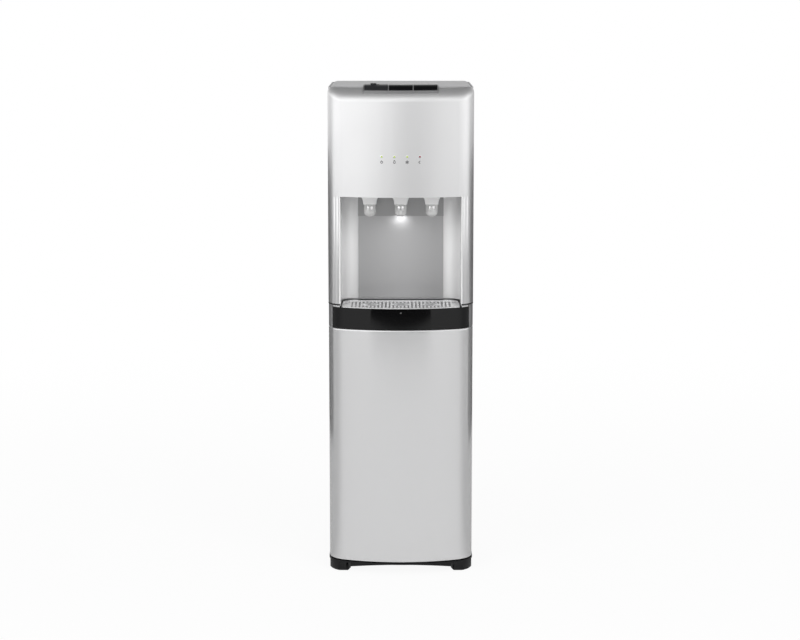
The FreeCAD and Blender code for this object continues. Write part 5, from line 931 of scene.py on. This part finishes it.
def sweepRun(shape, ring, step):
    made = bmesh.ops.extrude_edge_only(shape, edges=ring)["geom"]
    verts = vertsOf(made)
    bmesh.ops.translate(shape, verts=verts, vec=step)
    return [edge for edge in made if isinstance(edge, bmesh.types.BMEdge) and set(edge.verts) <= set(verts)]


def sweepTurn(shape, ring, centre, angle, steps):
    verts = list({vert for edge in ring for vert in edge.verts})
    made = bmesh.ops.spin(shape, geom=verts + list(ring), cent=centre, axis=(0, 0, 1),
                          angle=math.radians(angle), steps=steps)["geom_last"]
    return [item for item in made if isinstance(item, bmesh.types.BMEdge)]


beads = {
    # radius, height and how far inside the grille's edge
    "grilleSeal": (0.0009, 0.5752, 0.0001), "grilleBead": (0.0012, 0.5744, 0.0034),
}
# front: radius of the grille's bowed front edge
grille = {"side": 0.1266, "back": -0.0430, "coveX": 0.0926, "coveY": -0.0770, "front": 0.3251,
          "corner": 0.0040, "rim": 0.004}


def makeBead(name, finish):
    radius, z, inset = beads[name]
    shape = bmesh.new()
    bow = plan["bow"] - plan["reach"]
    reach = grille["front"] - inset
    corner = max(radius, grille["corner"] - inset)
    cornerX = grille["side"] - inset - corner
    cornerY = bow - math.sqrt((reach - corner) ** 2 - cornerX ** 2)
    lean = math.degrees(math.asin(cornerX / (reach - corner)))
    if name == "grilleSeal":
        ring = sweepStart(shape, (0, grille["back"] - inset, z), radius)
        ring = sweepRun(shape, ring, (grille["coveX"], 0, 0))
    else:
        ring = sweepStart(shape, (grille["coveX"], grille["back"] - inset, z), radius)
        bmesh.ops.holes_fill(shape, edges=ring, sides=20)
    ring = sweepTurn(shape, ring, (grille["coveX"], grille["coveY"], z), -90, 14)
    ring = sweepRun(shape, ring, (0, cornerY - grille["coveY"], 0))
    if name == "grilleBead":
        ring = sweepTurn(shape, ring, (cornerX, cornerY, z), lean - 90, 8)
        sweepTurn(shape, ring, (0, bow, z), -lean, 26)
    else:
        bmesh.ops.holes_fill(shape, edges=ring, sides=20)
    bmesh.ops.mirror(shape, geom=whole(shape), axis="X", merge_dist=1e-5)
    keepPiece(shape, name, finish, "drip_grille_body", [], 60)


roundel = [(0.0062, 0.5738), (0.0070, 0.5746), (0.0090, 0.5754), (0.0112, 0.5756), (0.0132, 0.5751),
           (0.0146, 0.5742), (0.0150, 0.5736)]


def makeRoundels():
    shape = bmesh.new()
    for side in (-1, 0, 1):
        turned(shape, roundel, (side * taps["pitch"], taps["y"], 0), 64, ring=True)
    keepPiece(shape, "grilleRings", "grilleSilver", "drip_grille_body", [], 60)


slats = {"low": 0.5714, "high": 0.5738, "thick": 0.0012, "first": -0.0580, "pitch": -0.0080, "rows": 14,
         "half": 0.1075, "clear": 0.0152}  # clear: radius kept free round each roundel's middle


def addBlock(shape, low, high):
    made = bmesh.ops.create_cube(shape, size=1)["verts"]
    for vert in made:
        vert.co = [(start + end) / 2 + part * (end - start) for start, end, part in zip(low, high, vert.co)]


def slatEnds(y):
    off = abs(y - taps["y"])
    gap = math.sqrt(slats["clear"] ** 2 - off ** 2) if off < slats["clear"] else 0
    bow = plan["bow"] - plan["reach"]
    half = min(slats["half"], math.sqrt((grille["front"] - grille["rim"]) ** 2 - (bow - y) ** 2))
    gaps = [side * taps["pitch"] + end * gap for side in (-1, 0, 1) for end in (-1, 1)] if gap else []
    return [-half] + gaps + [half]


def makeSlats():
    shape = bmesh.new()
    for row in range(slats["rows"]):
        y = slats["first"] + row * slats["pitch"]
        ends = slatEnds(y)
        for left, right in zip(ends[::2], ends[1::2]):
            addBlock(shape, (left, y - slats["thick"] / 2, slats["low"]),
                     (right, y + slats["thick"] / 2, slats["high"]))
    keepPiece(shape, "grilleSlats", "grilleSilver", "drip_grille_body", [], 60)


trayInset = 0.0015  # band of the tray inside the plan's bow
earTrim = {"low": 0.5745, "high": 0.5775, "near": 0.1292, "far": 0.1435, "inset": trayInset - 0.0006,
           "thick": 0.0016}
pillarGap = {"low": 0.5782, "high": 0.5812, "near": 0.1285, "far": 0.1547, "inset": 0.0006, "thick": 0.0030}


def bowStrip(trim):
    shape = bowWall(trim["inset"], trim["low"], trim["high"], trim["thick"])
    keepBetween(shape, trim["near"], trim["far"])
    return shape


bandStud = {"z": 0.5655, "radius": 0.0017}
studDome = [(0, 0.0006), (0.6, 0.00045), (1, 0), (1, -0.002), (0, -0.002)]  # share of the radius, and height


def makeTrayTrim():
    keepPiece(bowStrip(earTrim), "earTrim", "grilleSilver", "drip_tray_body", [], 50)
    keepPiece(bowStrip(pillarGap), "pillarGap", "rubberBlack", "cabinet", [], 50)
    shape = bmesh.new()
    verts = turned(shape, [(bandStud["radius"] * share, rise) for share, rise in studDome], (0, 0, 0), 24)
    bmesh.ops.rotate(shape, verts=verts, cent=(0, 0, 0), matrix=Matrix.Rotation(math.pi / 2, 3, "X"))
    bmesh.ops.translate(shape, verts=verts, vec=(0, trayInset - plan["reach"], bandStud["z"]))
    keepPiece(shape, "bandStud", "studGrey", "drip_tray_body", [], 50)


nightGlow = {"place": (0, -0.0520, 0.7570), "wide": 0.020, "deep": 0.004, "watts": 0.012, "tilt": 16,
             "edge": 0.0007}


def makeNightGlow():
    shape = bmesh.new()
    addBlock(shape, *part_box("night_light_lens"))
    bevelled(shape, shape.edges, nightGlow["edge"], 4)
    keepPiece(shape, "nightLens", "lensNight", "cabinet", ["night_light_lens"], 50)
    makeLight("nightGlow", nightGlow["place"], (math.radians(nightGlow["tilt"]), 0, 0), nightGlow["wide"],
              nightGlow["deep"], nightGlow["watts"])


makeRibs()
makeBead("grilleSeal", "baseBlack")
makeBead("grilleBead", "grilleSilver")
makeRoundels()
makeSlats()
makeTrayTrim()
makeNightGlow()
makeTaps()
makeLamps()
makeSigns()
makeDoor()
makeSkirt()
makeFeet()
print("pieces ready")
